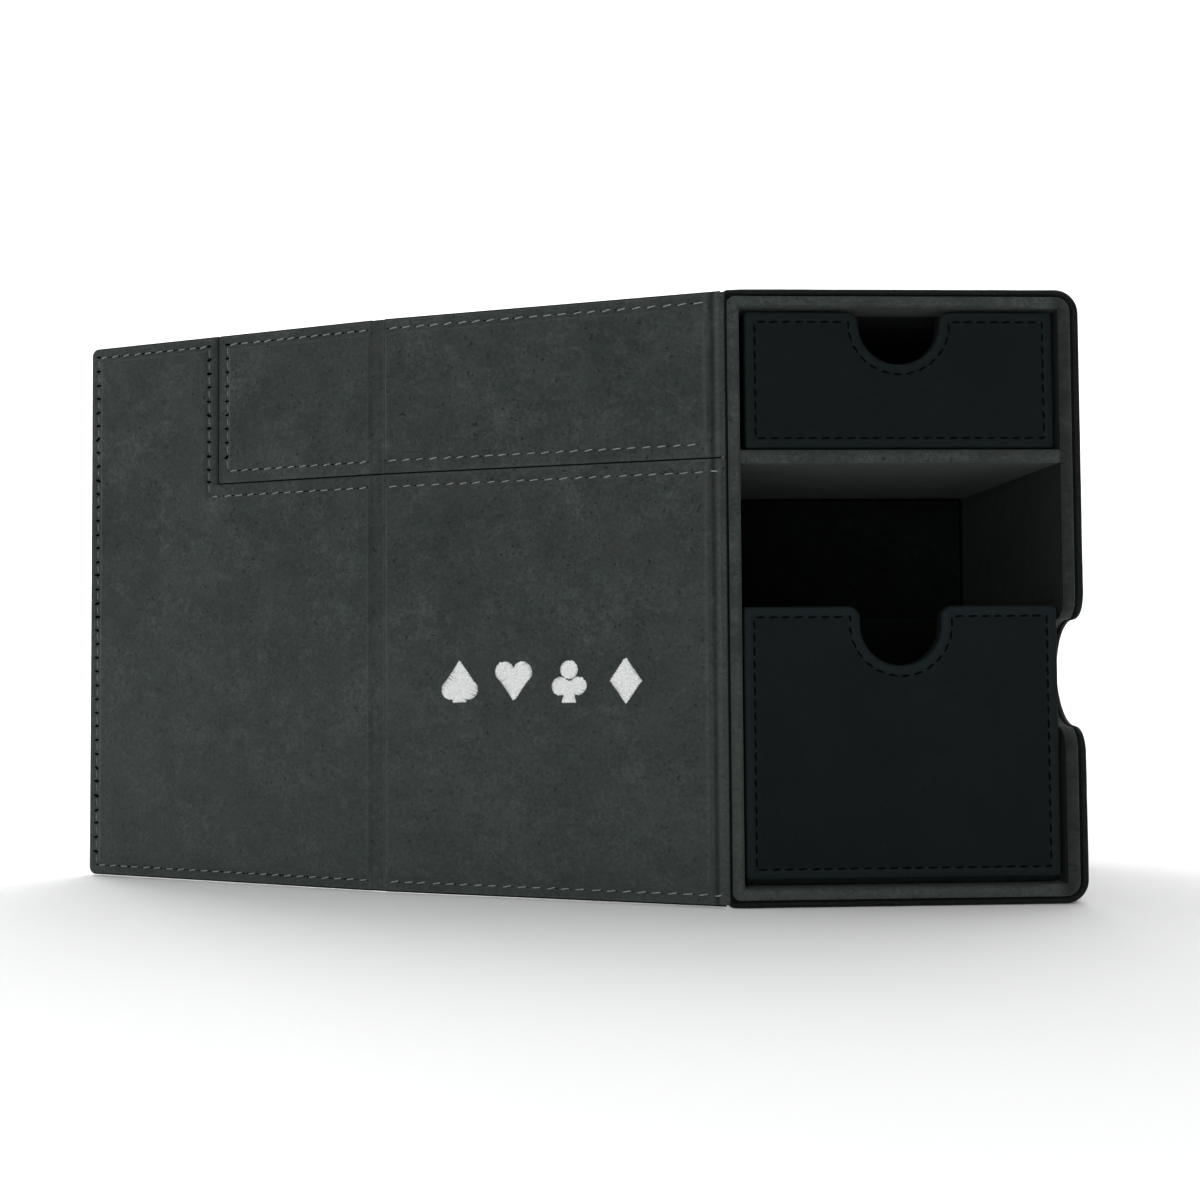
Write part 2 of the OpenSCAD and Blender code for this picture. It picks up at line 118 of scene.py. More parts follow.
def wave(p, scale, seed=0.0):
    """Slow smooth noise, about -1 to 1, at points in mm."""
    return np.array([noise.noise(Vector((a[0] / scale + seed, a[1] / scale - seed, a[2] / scale + 2 * seed))) for a in p])


def arc(cx, cy, r, a0, a1, n):
    t = np.radians(np.linspace(a0, a1, n + 1))
    return np.stack([cx + r * np.cos(t), cy + r * np.sin(t)], 1)


# ---------------------------------------------------------------- meshes
class Piece:
    """Closed islands of one piece, each with its material, its edge wear and painted light, and a tone of painted shade
    and painted highlight.
    """

    def __init__(self):
        self.v, self.f, self.m, self.w, self.t, self.n = [], [], [], [], [], 0

    def add(self, verts, faces, mat=0, wear_and_painted_light=None, tone=None):
        verts = np.asarray(verts, float)
        self.v.append(verts)
        self.t.append(np.zeros(len(verts)) if tone is None else np.asarray(tone, float))
        self.w.append(np.zeros(len(verts)) if wear_and_painted_light is None else np.asarray(wear_and_painted_light, float))
        for i, f in enumerate(faces):
            self.f.append([int(k) + self.n for k in f])
            self.m.append(int(mat[i]) if hasattr(mat, "__len__") else mat)
        self.n += len(verts)
        return self

    def build(self, name, mats, merge=1e-6, sharp=None):
        me = bpy.data.meshes.new(name)
        v = np.concatenate(self.v) * 0.001
        me.from_pydata(v.tolist(), [], self.f)
        for key, values in (("wear_and_painted_light", self.w), ("tone", self.t)):
            me.attributes.new(key, "FLOAT", "POINT").data.foreach_set("value", np.concatenate(values).astype(np.float32))
        me.polygons.foreach_set("material_index", self.m)
        me.polygons.foreach_set("use_smooth", [True] * len(self.f))
        bm = bmesh.new()
        bm.from_mesh(me)
        if merge:
            bmesh.ops.remove_doubles(bm, verts=bm.verts, dist=merge)
            bmesh.ops.dissolve_degenerate(bm, edges=bm.edges, dist=merge)
        bmesh.ops.recalc_face_normals(bm, faces=bm.faces)
        if sharp is not None:
            for e in bm.edges:
                if len(e.link_faces) == 2 and e.calc_face_angle(0) > sharp:
                    e.smooth = False
        bm.to_mesh(me)
        bm.free()
        for m in mats:
            me.materials.append(m)
        o = bpy.data.objects.new(name, me)
        scene.collection.objects.link(o)
        return o


def loft(rings, closed_u=True, closed_v=True, caps=False):
    """Quads over rings[a][b]; caps closes the ends of an open run of closed rings."""
    a_n, b_n, _ = rings.shape
    ia = np.arange(a_n if closed_u else a_n - 1)
    ib = np.arange(b_n if closed_v else b_n - 1)
    a0, b0 = np.meshgrid(ia, ib, indexing="ij")
    a1, b1 = (a0 + 1) % a_n, (b0 + 1) % b_n
    faces = np.stack([a0 * b_n + b0, a1 * b_n + b0, a1 * b_n + b1, a0 * b_n + b1], -1).reshape(-1, 4).tolist()
    if caps:
        faces.append(list(range(b_n)))
        faces.append([(a_n - 1) * b_n + i for i in range(b_n)])
    return rings.reshape(-1, 3), faces


def segment_distance(p, a, b):
    """Least distance from each 2-D point to any of the segments a-b."""
    if len(a) == 0:
        return np.full(len(p), 1e3)
    out = np.full(len(p), 1e9)
    ab = b - a
    ll = np.maximum((ab * ab).sum(1), 1e-12)
    for i in range(0, len(p), 2000):
        q = p[i:i + 2000, None, :]
        t = np.clip(((q - a) * ab).sum(-1) / ll, 0, 1)
        d = q - (a + t[..., None] * ab)
        out[i:i + 2000] = np.sqrt((d * d).sum(-1)).min(1)
    return out


def lines(a, b, from_a, from_b, step):
    """Grid lines from a to b: offsets from each end, and even steps between."""
    lo, hi = [a + x for x in from_a], [b - x for x in from_b]
    m0, m1 = max(lo), min(hi)
    n = max(1, round((m1 - m0) / step))
    mid = [m0 + (m1 - m0) * i / n for i in range(1, n)]
    return sorted(set(round(x, 5) for x in lo + hi + mid))


def grid_shell(us, vs, top, bot, keep=None, corners=(), is_joint=None):
    """A closed sheet over a grid in (u, v). top and bot give the two heights from
    (U, V, distance to free edges, distance to joint edges). keep(u, v) says which
    cells exist; corners are (u, v, du, dv, r), rounded. Faces come with a tag:
    0 top, 1 bottom, 2 edge."""
    us, vs = np.array(us), np.array(vs)
    u, v = np.meshgrid(us, vs, indexing="ij")
    x, z = u.copy(), v.copy()
    for cu, cv, su, sv, r in corners:
        a, b = (u - (cu - su * r)) * su / r, (v - (cv - sv * r)) * sv / r
        m = (a > 0) & (b > 0) & (a < 1 + 1e-6) & (b < 1 + 1e-6)
        x[m] = cu - su * r + su * r * (a * np.sqrt(np.maximum(0, 1 - b * b / 2)))[m]
        z[m] = cv - sv * r + sv * r * (b * np.sqrt(np.maximum(0, 1 - a * a / 2)))[m]
    cu, cv = np.meshgrid((us[1:] + us[:-1]) / 2, (vs[1:] + vs[:-1]) / 2, indexing="ij")
    cell = np.ones(cu.shape, bool) if keep is None else keep(cu, cv)
    nu, nv = u.shape
    padded = np.zeros((nu + 1, nv + 1), bool)
    padded[1:-1, 1:-1] = cell
    used = padded[:-1, :-1] | padded[1:, :-1] | padded[:-1, 1:] | padded[1:, 1:]
    index = -np.ones(u.shape, int)
    index[used] = np.arange(used.sum())
    n = int(used.sum())
    ci, cj = np.nonzero(cell)
    quads = np.stack([index[ci, cj], index[ci + 1, cj], index[ci + 1, cj + 1], index[ci, cj + 1]], 1)
    edges = []
    for i, j in zip(*np.nonzero(padded[1:-1, :-1] != padded[1:-1, 1:])):      # along u
        edges.append((index[i, j], index[i + 1, j]))
    for i, j in zip(*np.nonzero(padded[:-1, 1:-1] != padded[1:, 1:-1])):      # along v
        edges.append((index[i, j], index[i, j + 1]))
    edges = np.array(edges)
    p = np.stack([x[used], z[used]], 1)
    flat = np.stack([u[used], v[used]], 1)
    mid = (flat[edges[:, 0]] + flat[edges[:, 1]]) / 2
    joint = np.array([bool(is_joint(m[0], m[1])) for m in mid]) if is_joint else np.zeros(len(mid), bool)
    a, b = p[edges[:, 0]], p[edges[:, 1]]
    d_free = segment_distance(p, a[~joint], b[~joint])
    d_joint = segment_distance(p, a[joint], b[joint])
    ht, hb = top(p[:, 0], p[:, 1], d_free, d_joint), bot(p[:, 0], p[:, 1], d_free, d_joint)
    verts = np.concatenate([np.stack([p[:, 0], ht, p[:, 1]], 1), np.stack([p[:, 0], hb, p[:, 1]], 1)])
    faces = quads.tolist() + (quads[:, ::-1] + n).tolist() + [[e[0], e[1], e[1] + n, e[0] + n] for e in edges]
    tags = [0] * len(quads) + [1] * len(quads) + [2] * len(edges)
    wear_and_painted_light = np.clip(1 - np.concatenate([d_free, d_free]) / 0.9, 0, 1)
    return verts, faces, tags, wear_and_painted_light


def finish_piece(piece, body, nodes=()):
    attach(piece, body)
    if nodes:
        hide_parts(*nodes)
    return piece


# ---------------------------------------------------------------- materials
def srgb(*c):
    return tuple(x / 255 / 12.92 if x / 255 <= 0.04045 else ((x / 255 + 0.055) / 1.055) ** 2.4 for x in c) + (1.0,)


class Nodes:
    def __init__(self, name):
        self.mat = bpy.data.materials.new(name)
        self.mat.use_nodes = True
        self.t = self.mat.node_tree
        self.t.nodes.clear()
        self.out = self.t.nodes.new("ShaderNodeOutputMaterial")
        self.bsdf = self.t.nodes.new("ShaderNodeBsdfPrincipled")
        self.link(self.bsdf.outputs[0], self.out.inputs[0])
        self.coord = self.t.nodes.new("ShaderNodeTexCoord").outputs["Object"]

    def link(self, a, b):
        self.t.links.new(a, b)

    def set(self, **values):
        for k, x in values.items():
            self.bsdf.inputs[k.replace("_", " ")].default_value = x

    def mapping(self, scale, rot=(0, 0, 0)):
        m = self.t.nodes.new("ShaderNodeMapping")
        m.inputs["Scale"].default_value = scale
        m.inputs["Rotation"].default_value = rot
        self.link(self.coord, m.inputs[0])
        return m.outputs[0]

    def noise(self, per_mm, detail=3.0, rough=0.5, vector=None, distort=0.0, stretch=(1, 1, 1), rot=(0, 0, 0)):
        n = self.t.nodes.new("ShaderNodeTexNoise")
        s = per_mm * 1000
        self.link(vector or self.mapping(tuple(s * k for k in stretch), rot), n.inputs["Vector"])
        n.inputs["Scale"].default_value = 1.0
        n.inputs["Detail"].default_value = detail
        n.inputs["Roughness"].default_value = rough
        n.inputs["Distortion"].default_value = distort
        return n.outputs["Fac"]

    def voronoi(self, per_mm, feature="DISTANCE_TO_EDGE", vector=None, randomness=1.0):
        n = self.t.nodes.new("ShaderNodeTexVoronoi")
        n.feature = feature
        self.link(vector or self.mapping((per_mm * 1000,) * 3), n.inputs["Vector"])
        n.inputs["Scale"].default_value = 1.0
        n.inputs["Randomness"].default_value = randomness
        return n.outputs["Distance"]

    def ramp(self, fac, stops):
        r = self.t.nodes.new("ShaderNodeValToRGB")
        e = r.color_ramp.elements
        while len(e) > 1:
            e.remove(e[-1])
        e[0].position, e[0].color = stops[0]
        for pos, col in stops[1:]:
            k = e.new(pos)
            k.color = col
        self.link(fac, r.inputs[0])
        return r.outputs[0]

    def math(self, op, a, b=None, c=None, clamp=False):
        n = self.t.nodes.new("ShaderNodeMath")
        n.operation = op
        n.use_clamp = clamp
        for i, x in enumerate((a, b, c)):
            if x is None:
                continue
            if isinstance(x, (int, float)):
                n.inputs[i].default_value = x
            else:
                self.link(x, n.inputs[i])
        return n.outputs[0]

    def mix(self, fac, a, b, blend="MIX"):
        n = self.t.nodes.new("ShaderNodeMix")
        n.data_type = "RGBA"
        n.blend_type = blend
        for sock, x in ((n.inputs[0], fac), (n.inputs[6], a), (n.inputs[7], b)):
            if isinstance(x, (int, float)):
                sock.default_value = x
            elif isinstance(x, tuple):
                sock.default_value = x
            else:
                self.link(x, sock)
        return n.outputs[2]

    def attribute(self, name):
        n = self.t.nodes.new("ShaderNodeAttribute")
        n.attribute_name = name
        return n.outputs["Fac"]

    def range(self, x, a, b, c, d):
        n = self.t.nodes.new("ShaderNodeMapRange")
        for i, k in enumerate((a, b, c, d)):
            n.inputs[i + 1].default_value = k
        self.link(x, n.inputs[0])
        return n.outputs[0]

    def bump(self, height, strength, distance_mm, normal=None):
        n = self.t.nodes.new("ShaderNodeBump")
        n.inputs["Strength"].default_value = strength
        n.inputs["Distance"].default_value = distance_mm * 0.001
        self.link(height, n.inputs["Height"])
        if normal:
            self.link(normal, n.inputs["Normal"])
        return n.outputs[0]


def suede_material(name, base=(46, 51, 49), light=(69, 75, 72), dark=(32, 37, 35), brush=(0.8, 0.8, 1.0), sheen=0.16, spec=0.08):
    n = Nodes(name)
    patches = n.noise(0.07, 3, 0.6)
    strokes = n.noise(0.28, 5, 0.66, stretch=brush, distort=0.9)
    specks = n.noise(1.15, 4, 0.75)
    fibre = n.noise(3.6, 3, 0.7, stretch=(1, 1, 0.6))
    tone = n.math("ADD", n.math("MULTIPLY", patches, 0.42), n.math("MULTIPLY", strokes, 0.50))
    tone = n.math("ADD", tone, n.math("MULTIPLY", specks, 0.66))
    tone = n.math("ADD", tone, n.math("MULTIPLY", fibre, 0.32))
    tone = n.math("MULTIPLY", tone, 0.5263)
    colour = n.ramp(tone, [(0.385, srgb(*dark)), (0.5, srgb(*base)), (0.63, srgb(*light))])
    warm = n.mix(n.range(n.noise(0.09, 3, 0.6, rot=(0.4, 0.2, 0.9)), 0.44, 0.66, 0, 0.4), colour, srgb(*(round(c * k) for c, k in zip(base, (1.10, 1.02, 0.99)))))
    green = n.mix(n.range(n.noise(0.22, 3, 0.6, rot=(1.4, 0.7, 0.2)), 0.50, 0.70, 0, 0.35), warm, srgb(*(round(c * k) for c, k in zip(base, (0.90, 1.07, 1.03)))))
    flecks = n.range(n.noise(0.95, 2, 0.5, rot=(0.3, 1.1, 0.5)), 0.645, 0.725, 0, 0.8)
    colour = n.mix(flecks, green, srgb(*(round(c * 0.45) for c in dark)))
    ticks = n.range(n.noise(1.9, 2, 0.5, stretch=(0.6, 0.6, 1.5), rot=(0.2, 0.4, 0.1)), 0.65, 0.73, 0, 0.6)
    colour = n.mix(ticks, colour, srgb(*(round(c * 0.55) for c in dark)))
    # The vertex attribute mixed in here paints the suede paler: real edge wear, and also painted light towards the foot
    # of the rim and flaps and painted highlights on ridges.
    colour = n.mix(n.math("MULTIPLY", n.attribute("wear_and_painted_light"), n.range(specks, 0.35, 0.65, 0.22, 0.55)), colour, srgb(*light))
    # Painted shade: the tone attribute darkens the suede along the rim's rounded edges, over its right stile, under the
    # drawer, deep in the bays, beside the cut and in the strips' valleys.
    colour = n.mix(n.math("MULTIPLY", n.attribute("tone"), n.range(strokes, 0.35, 0.65, 0.95, 0.65)), colour, srgb(*(round(c * 0.62) for c in dark)))
    n.link(colour, n.bsdf.inputs["Base Color"])
    n.link(n.range(specks, 0.3, 0.7, 0.88, 1.0), n.bsdf.inputs["Roughness"])
    n.set(Specular_IOR_Level=spec, Sheen_Weight=sheen, Sheen_Roughness=0.6, Sheen_Tint=(0.72, 0.80, 0.77, 1))
    h = n.math("ADD", n.math("MULTIPLY", specks, 0.7), n.math("MULTIPLY", fibre, 0.5))
    b = n.bump(h, 0.75, 0.22)
    b = n.bump(strokes, 0.35, 0.45, b)
    n.link(b, n.bsdf.inputs["Normal"])
    return n.mat


def leather_material(name, base=(11, 14, 14), worn=(30, 33, 33), border=(24, 28, 28), grain=1.15, grain_depth=0.07, rough=0.54, spec=0.13, strength=0.6):
    n = Nodes(name)
    wobble = n.t.nodes.new("ShaderNodeTexNoise")
    n.link(n.mapping((700,) * 3), wobble.inputs["Vector"])
    wobble.inputs["Scale"].default_value = 1.0
    moved = n.t.nodes.new("ShaderNodeVectorMath")
    moved.operation = "MULTIPLY_ADD"
    n.link(wobble.outputs["Color"], moved.inputs[0])
    moved.inputs[1].default_value = (0.9, 0.9, 0.9)
    n.link(n.mapping((grain * 1000,) * 3), moved.inputs[2])
    cells = n.voronoi(grain, vector=moved.outputs[0])
    pebble = n.ramp(cells, [(0.0, (0, 0, 0, 1)), (0.12, (0.6, 0.6, 0.6, 1)), (0.4, (1, 1, 1, 1))])
    fine = n.noise(4.5, 4, 0.65)
    cloud = n.noise(0.06, 3, 0.5)
    colour = n.mix(n.range(cloud, 0.35, 0.7, 0, 1), srgb(*base), srgb(*(c + 4 for c in base)))
    colour = n.mix(n.range(pebble, 0, 1, 0.35, 0), colour, srgb(*(c * 0.6 for c in base)))
    wear_and_painted_light = n.math("MULTIPLY", n.attribute("wear_and_painted_light"), n.range(n.noise(0.9, 4, 0.7), 0.42, 0.66, 0, 0.7))
    # Painted highlight: the tone attribute paints the soft border of the fronts in the paler border colour.
    colour = n.mix(n.math("MULTIPLY", n.attribute("tone"), n.range(fine, 0.3, 0.7, 0.7, 1.0)), colour, srgb(*border))
    colour = n.mix(wear_and_painted_light, colour, srgb(*worn))
    n.link(colour, n.bsdf.inputs["Base Color"])
    r = n.math("ADD", n.range(fine, 0.3, 0.7, rough - 0.05, rough + 0.08), n.range(pebble, 0, 1, 0.16, 0))
    n.link(r, n.bsdf.inputs["Roughness"])
    n.set(Specular_IOR_Level=spec)
    b = n.bump(pebble, strength, grain_depth)
    b = n.bump(fine, strength * 0.5, 0.03, b)
    n.link(b, n.bsdf.inputs["Normal"])
    return n.mat


def thread_material(name, colour, light, rough=0.6, sheen=0.2, spec=0.12):
    n = Nodes(name)
    twist = n.noise(3.2, 3, 0.6, stretch=(1, 1, 1))
    fuzz = n.noise(9.0, 2, 0.6)
    n.link(n.mix(n.range(twist, 0.35, 0.68, 0, 1), srgb(*colour), srgb(*light)), n.bsdf.inputs["Base Color"])
    n.set(Roughness=rough, Specular_IOR_Level=spec, Sheen_Weight=sheen, Sheen_Roughness=0.4)
    n.link(n.bump(fuzz, 0.5, 0.05, n.bump(twist, 0.5, 0.08)), n.bsdf.inputs["Normal"])
    return n.mat


def greyboard_material():
    n = Nodes("greyboard")
    f = n.noise(1.2, 5, 0.7)
    n.link(n.ramp(f, [(0.35, srgb(96, 88, 78)), (0.55, srgb(128, 120, 108)), (0.75, srgb(150, 143, 130))]), n.bsdf.inputs["Base Color"])
    n.set(Roughness=0.95, Specular_IOR_Level=0.1)
    n.link(n.bump(f, 0.4, 0.1), n.bsdf.inputs["Normal"])
    return n.mat


def magnet_material():
    n = Nodes("nickel_magnet")
    f = n.noise(2.0, 4, 0.6, stretch=(1, 1, 4))
    n.link(n.ramp(f, [(0.3, srgb(150, 150, 152)), (0.7, srgb(196, 196, 198))]), n.bsdf.inputs["Base Color"])
    n.link(n.range(f, 0.3, 0.7, 0.22, 0.38), n.bsdf.inputs["Roughness"])
    n.set(Metallic=1.0)
    return n.mat


def floor_material():
    n = Nodes("pale_floor")
    f = n.noise(0.004, 3, 0.5)
    n.link(n.ramp(f, [(0.3, (0.95, 0.95, 0.95, 1)), (0.7, (0.965, 0.965, 0.965, 1))]), n.bsdf.inputs["Base Color"])
    n.set(Roughness=0.9, Specular_IOR_Level=0.1)
    return n.mat


SUEDE = suede_material("suede")
# Suede painted in shade, for the insides of the bays.
SUEDE_IN_PAINTED_SHADE = suede_material("bay_suede_painted_shade", base=(21, 24, 23), light=(34, 38, 37), dark=(12, 14, 14), sheen=0.11, spec=0.04)
# Suede painted in deeper shade, for the bays' right walls.
SUEDE_IN_DEEPER_PAINTED_SHADE = suede_material("bay_wall_suede_painted_shade", base=(18, 21, 20), light=(30, 34, 33), dark=(10, 12, 12), sheen=0.045, spec=0.03)
# Suede painted in the darkest shade, for the bays' backs, the upper bay's deep end and the linings of drawer and tray.
SUEDE_IN_DARKEST_PAINTED_SHADE = suede_material("box_suede_painted_shade", base=(15, 17, 17), light=(25, 28, 28), dark=(8, 9, 9), sheen=0.03, spec=0.03)
LEATHER = leather_material("cover_leather", base=(7, 11, 10), worn=(24, 28, 27), spec=0.11)
FRONT_LEATHER = leather_material("front_leather", base=(4, 12, 13), worn=(21, 28, 29), border=(16, 24, 26), grain=2.0, grain_depth=0.025, rough=0.58, spec=0.10, strength=0.35)
BLACK_THREAD = thread_material("black_thread", (2, 3, 3), (7, 8, 8), rough=0.85, sheen=0.0, spec=0.03)
GREY_THREAD = thread_material("grey_thread", (104, 109, 107), (154, 159, 156), sheen=0.1)
WHITE_THREAD = thread_material("white_thread", (205, 207, 207), (246, 247, 246), rough=0.45, sheen=0.3)
# Painted shade: dark lens shapes where the needle holes are.
NEEDLE_HOLE_SHADE = thread_material("needle_hole_painted_shade", (1, 2, 2), (5, 6, 6), rough=0.95, sheen=0.0, spec=0.02)
GREYBOARD = greyboard_material()
MAGNET = magnet_material()


# ---------------------------------------------------------------- case: path of the front edge
def case_stations():
    """Stations round the case along the front edge of the side walls, counter-clockwise
    from the bottom of the right wall, with the way round the finger notch. Each is
    (edge point, into the wall's surface, outward normal, back point, tag)."""
    st = []
    yq = YBB + 0.75

    def put(e, n, m, q, tag):
        st.append((np.array(e, float), np.array(n, float), np.array(m, float), np.array(q, float), tag))

    r, rl = 5.5, 1.2
    z_a = 20.0
    e_in = 0.4                                       # the notch's covering, inside the boards' edge
    for z in np.linspace(r, z_a, 8)[:-1]:
        put((XR, YF, z), (0, 1, 0), (1, 0, 0), (XR, yq, z), "right")
    run = []                                         # (v, z, nv, nz, w)
    z0 = NOTCH_Z - NOTCH_HW - NOTCH_LIP
    for z in np.linspace(z_a, z0, 8)[:-1]:
        run.append((0, z, 1, 0, 0))
    for a in np.linspace(180, 90, 11):
        w = smooth((180 - a) / 70)
        c, s = math.cos(math.radians(a)), math.sin(math.radians(a))
        rr = NOTCH_LIP + e_in * w
        run.append((NOTCH_LIP + rr * c, z0 + rr * s, -c, -s, w))
    for a in np.linspace(-90, 90, 37):
        c, s = math.cos(math.radians(a)), math.sin(math.radians(a))
        run.append((NOTCH_D - NOTCH_HW + (NOTCH_HW - e_in) * c, NOTCH_Z + (NOTCH_HW - e_in) * s, c, s, 1))
    for x in reversed(run[:7 + 11]):
        run.append((x[0], 2 * NOTCH_Z - x[1], x[2], -x[3], x[4]))
    pts = np.array([(x[0], x[1]) for x in run])
    length = np.concatenate([[0], np.cumsum(np.linalg.norm(np.diff(pts, axis=0), axis=1))])
    frac = length / length[-1]
    z_top = 2 * NOTCH_Z - z_a
    for x, f in zip(run, frac):
        put((XR, YF + x[0], x[1]), (0, x[2], x[3]), (1, 0, 0), (XR, yq, z_a + f * (z_top - z_a)), ("notch", x[4]))
    for z in np.linspace(z_top, H - r, 16)[1:-1]:
        put((XR, YF, z), (0, 1, 0), (1, 0, 0), (XR, yq, z), "right")
    for a in np.linspace(0, 90, 11):
        c, s = math.cos(math.radians(a)), math.sin(math.radians(a))
        put((XR - r + r * c, YF, H - r + r * s), (0, 1, 0), (c, 0, s), (XR - r + r * c, yq, H - r + r * s), ("arc", a))
    for x in np.linspace(XR - r, XL + rl, 28)[1:-1]:
        put((x, YF, H), (0, 1, 0), (0, 0, 1), (x, yq, H), "top")
    for a in np.linspace(90, 180, 7):
        c, s = math.cos(math.radians(a)), math.sin(math.radians(a))
        put((XL + rl + rl * c, YF, H - rl + rl * s), (0, 1, 0), (c, 0, s), (XL + rl + rl * c, yq, H - rl + rl * s), ("left_arc", a))
    for z in np.linspace(H - rl, rl, 50)[1:-1]:
        put((XL, YF, z), (0, 1, 0), (-1, 0, 0), (XL, yq, z), "left")
    for a in np.linspace(180, 270, 7):
        c, s = math.cos(math.radians(a)), math.sin(math.radians(a))
        put((XL + rl + rl * c, YF, rl + rl * s), (0, 1, 0), (c, 0, s), (XL + rl + rl * c, yq, rl + rl * s), ("left_arc", a))
    for x in np.linspace(XL + rl, XR - r, 28)[1:-1]:
        put((x, YF, 0), (0, 1, 0), (0, 0, -1), (x, yq, 0), "bottom")
    for a in np.linspace(270, 360, 11):
        c, s = math.cos(math.radians(a)), math.sin(math.radians(a))
        put((XR - r + r * c, YF, r + r * s), (0, 1, 0), (c, 0, s), (XR - r + r * c, yq, r + r * s), ("arc", a))
    return st[:-1]


def outer_cover():
    """Padded leather wrapped round the four walls: rounded front edge, a flange under
    the suede, and a rounded back edge."""
    rings, wears = [], []
    t_right, t_top, t_left = 1.68, 1.4, 0.9
    for e, n, m, q, tag in case_stations():
        kind = tag if isinstance(tag, str) else tag[0]
        edge, back, setback = t_right, 2.2, 0.12
        flange = 0.62
        if kind == "notch":
            setback = 0.12 * (1 - tag[1])
            flange = 0.62 * (1 - tag[1]) + 0.26 * tag[1]
        elif kind in ("top", "bottom"):
            edge, back = t_top, 1.8
            fall = 1 - smooth((e[0] - XL) / 2.6)
            setback = 0.12 + 0.6 * fall
            flange = 0.62 + 0.14 * fall
        elif kind == "left":
            edge, back, setback, flange = t_left, 1.0, 0.72, 0.76
        elif kind == "left_arc":
            t = abs((tag[1] - 180) / 90)
            edge = t_left + (t_top - t_left) * t + 0.85 * math.sin(math.pi * t)
            back, setback, flange = 1.0, 0.72, 0.76
        elif kind == "arc":
            a = math.radians(tag[1])
            edge = t_right + (t_top - t_right) * math.sin(a) ** 2
            back = 5.5 - min(3.27 / max(abs(math.cos(a)), 1e-6), 3.67 / max(abs(math.sin(a)), 1e-6))
        p, w = [], []

        def at(d, h, wear_and_painted_light=0.0, base=None):
            p.append((e if base is None else base) + n * (d + (setback if base is None else 0)) - m * h)
            w.append(wear_and_painted_light)

        r = min(1.0, 0.55 * edge + 0.1)
        ri = min(0.45, 0.35 * edge)
        for k in range(4):                           # small radius on the groove side
            f = math.radians(90 * (1 - k / 3))
            at(ri * (1 - math.cos(f)), edge - ri * (1 - math.sin(f)), 0.5)
        for k in range(7):
            f = math.radians(90 * k / 6)
            at(r * (1 - math.cos(f)), r * (1 - math.sin(f)), 1.0)
        for d in (1.5, 2.2, 3.2):
            at(d, 0.0, 0.25 if d < 2 else 0.0)
        inner0 = e + n * 4.2
        inner1 = q - np.array([0, 2.4, 0])
        for k in range(0, 15):
            x = inner0 + (inner1 - inner0) * k / 14
            p.append(x)
            w.append(0.0)
        for d in (1.6, 1.1):
            p.append(q - np.array([0, d, 0]))
            w.append(0.6)
        rb = 1.0
        for k in range(1, 6):
            f = math.radians(90 * k / 5)
            p.append(q - np.array([0, rb * (1 - math.sin(f)), 0]) - m * rb * (1 - math.cos(f)))
            w.append(0.8)
        hidden = [q - m * (min(back - 0.02, 1.6) if kind in ("left", "left_arc") else 1.6)]
        hidden.append(q - np.array([0, 0.77, 0]) - m * 1.6)
        hidden.append(q - np.array([0, 0.79, 0]) - m * (back - 0.02))
        for k in range(0, 5):
            x = inner1 + (inner0 - inner1) * k / 4
            hidden.append(x - m * (back - 0.02))
        hidden.append(e + n * (flange + 0.24) - m * (back - 0.02))
        reach = edge + 0.75
        hidden.append(e + n * (flange + 0.13) - m * (back - 0.02))
        hidden.append(e + n * (flange + 0.13) - m * reach)
        hidden.append(e + n * flange - m * reach)
        hidden.append(e + n * flange - m * edge)
        for x in hidden:
            p.append(x)
            w.append(0.0)
        rings.append(np.array(p))
        wears.append(np.array(w))
    rings = np.array(rings)
    a_n, b_n, _ = rings.shape
    flat = rings.reshape(-1, 3)
    outer = np.zeros((a_n, b_n), bool)
    outer[:, 4:31] = True                            # soft unevenness of leather over foam
    amount = wave(flat, 17, 3.1) * 0.10 + wave(flat, 6, 1.7) * 0.03
    normals = np.repeat(np.array([s[2] for s in case_stations()]), b_n, axis=0)
    flat = flat - normals * (np.abs(amount) * outer.reshape(-1))[:, None]
    rings = flat.reshape(a_n, b_n, 3)
    v, f = loft(rings)
    o = Piece().add(v, f, 0, np.concatenate(wears)).build("outer_leather", [LEATHER])
    finish_piece(o, "case", ["outer_cover"])


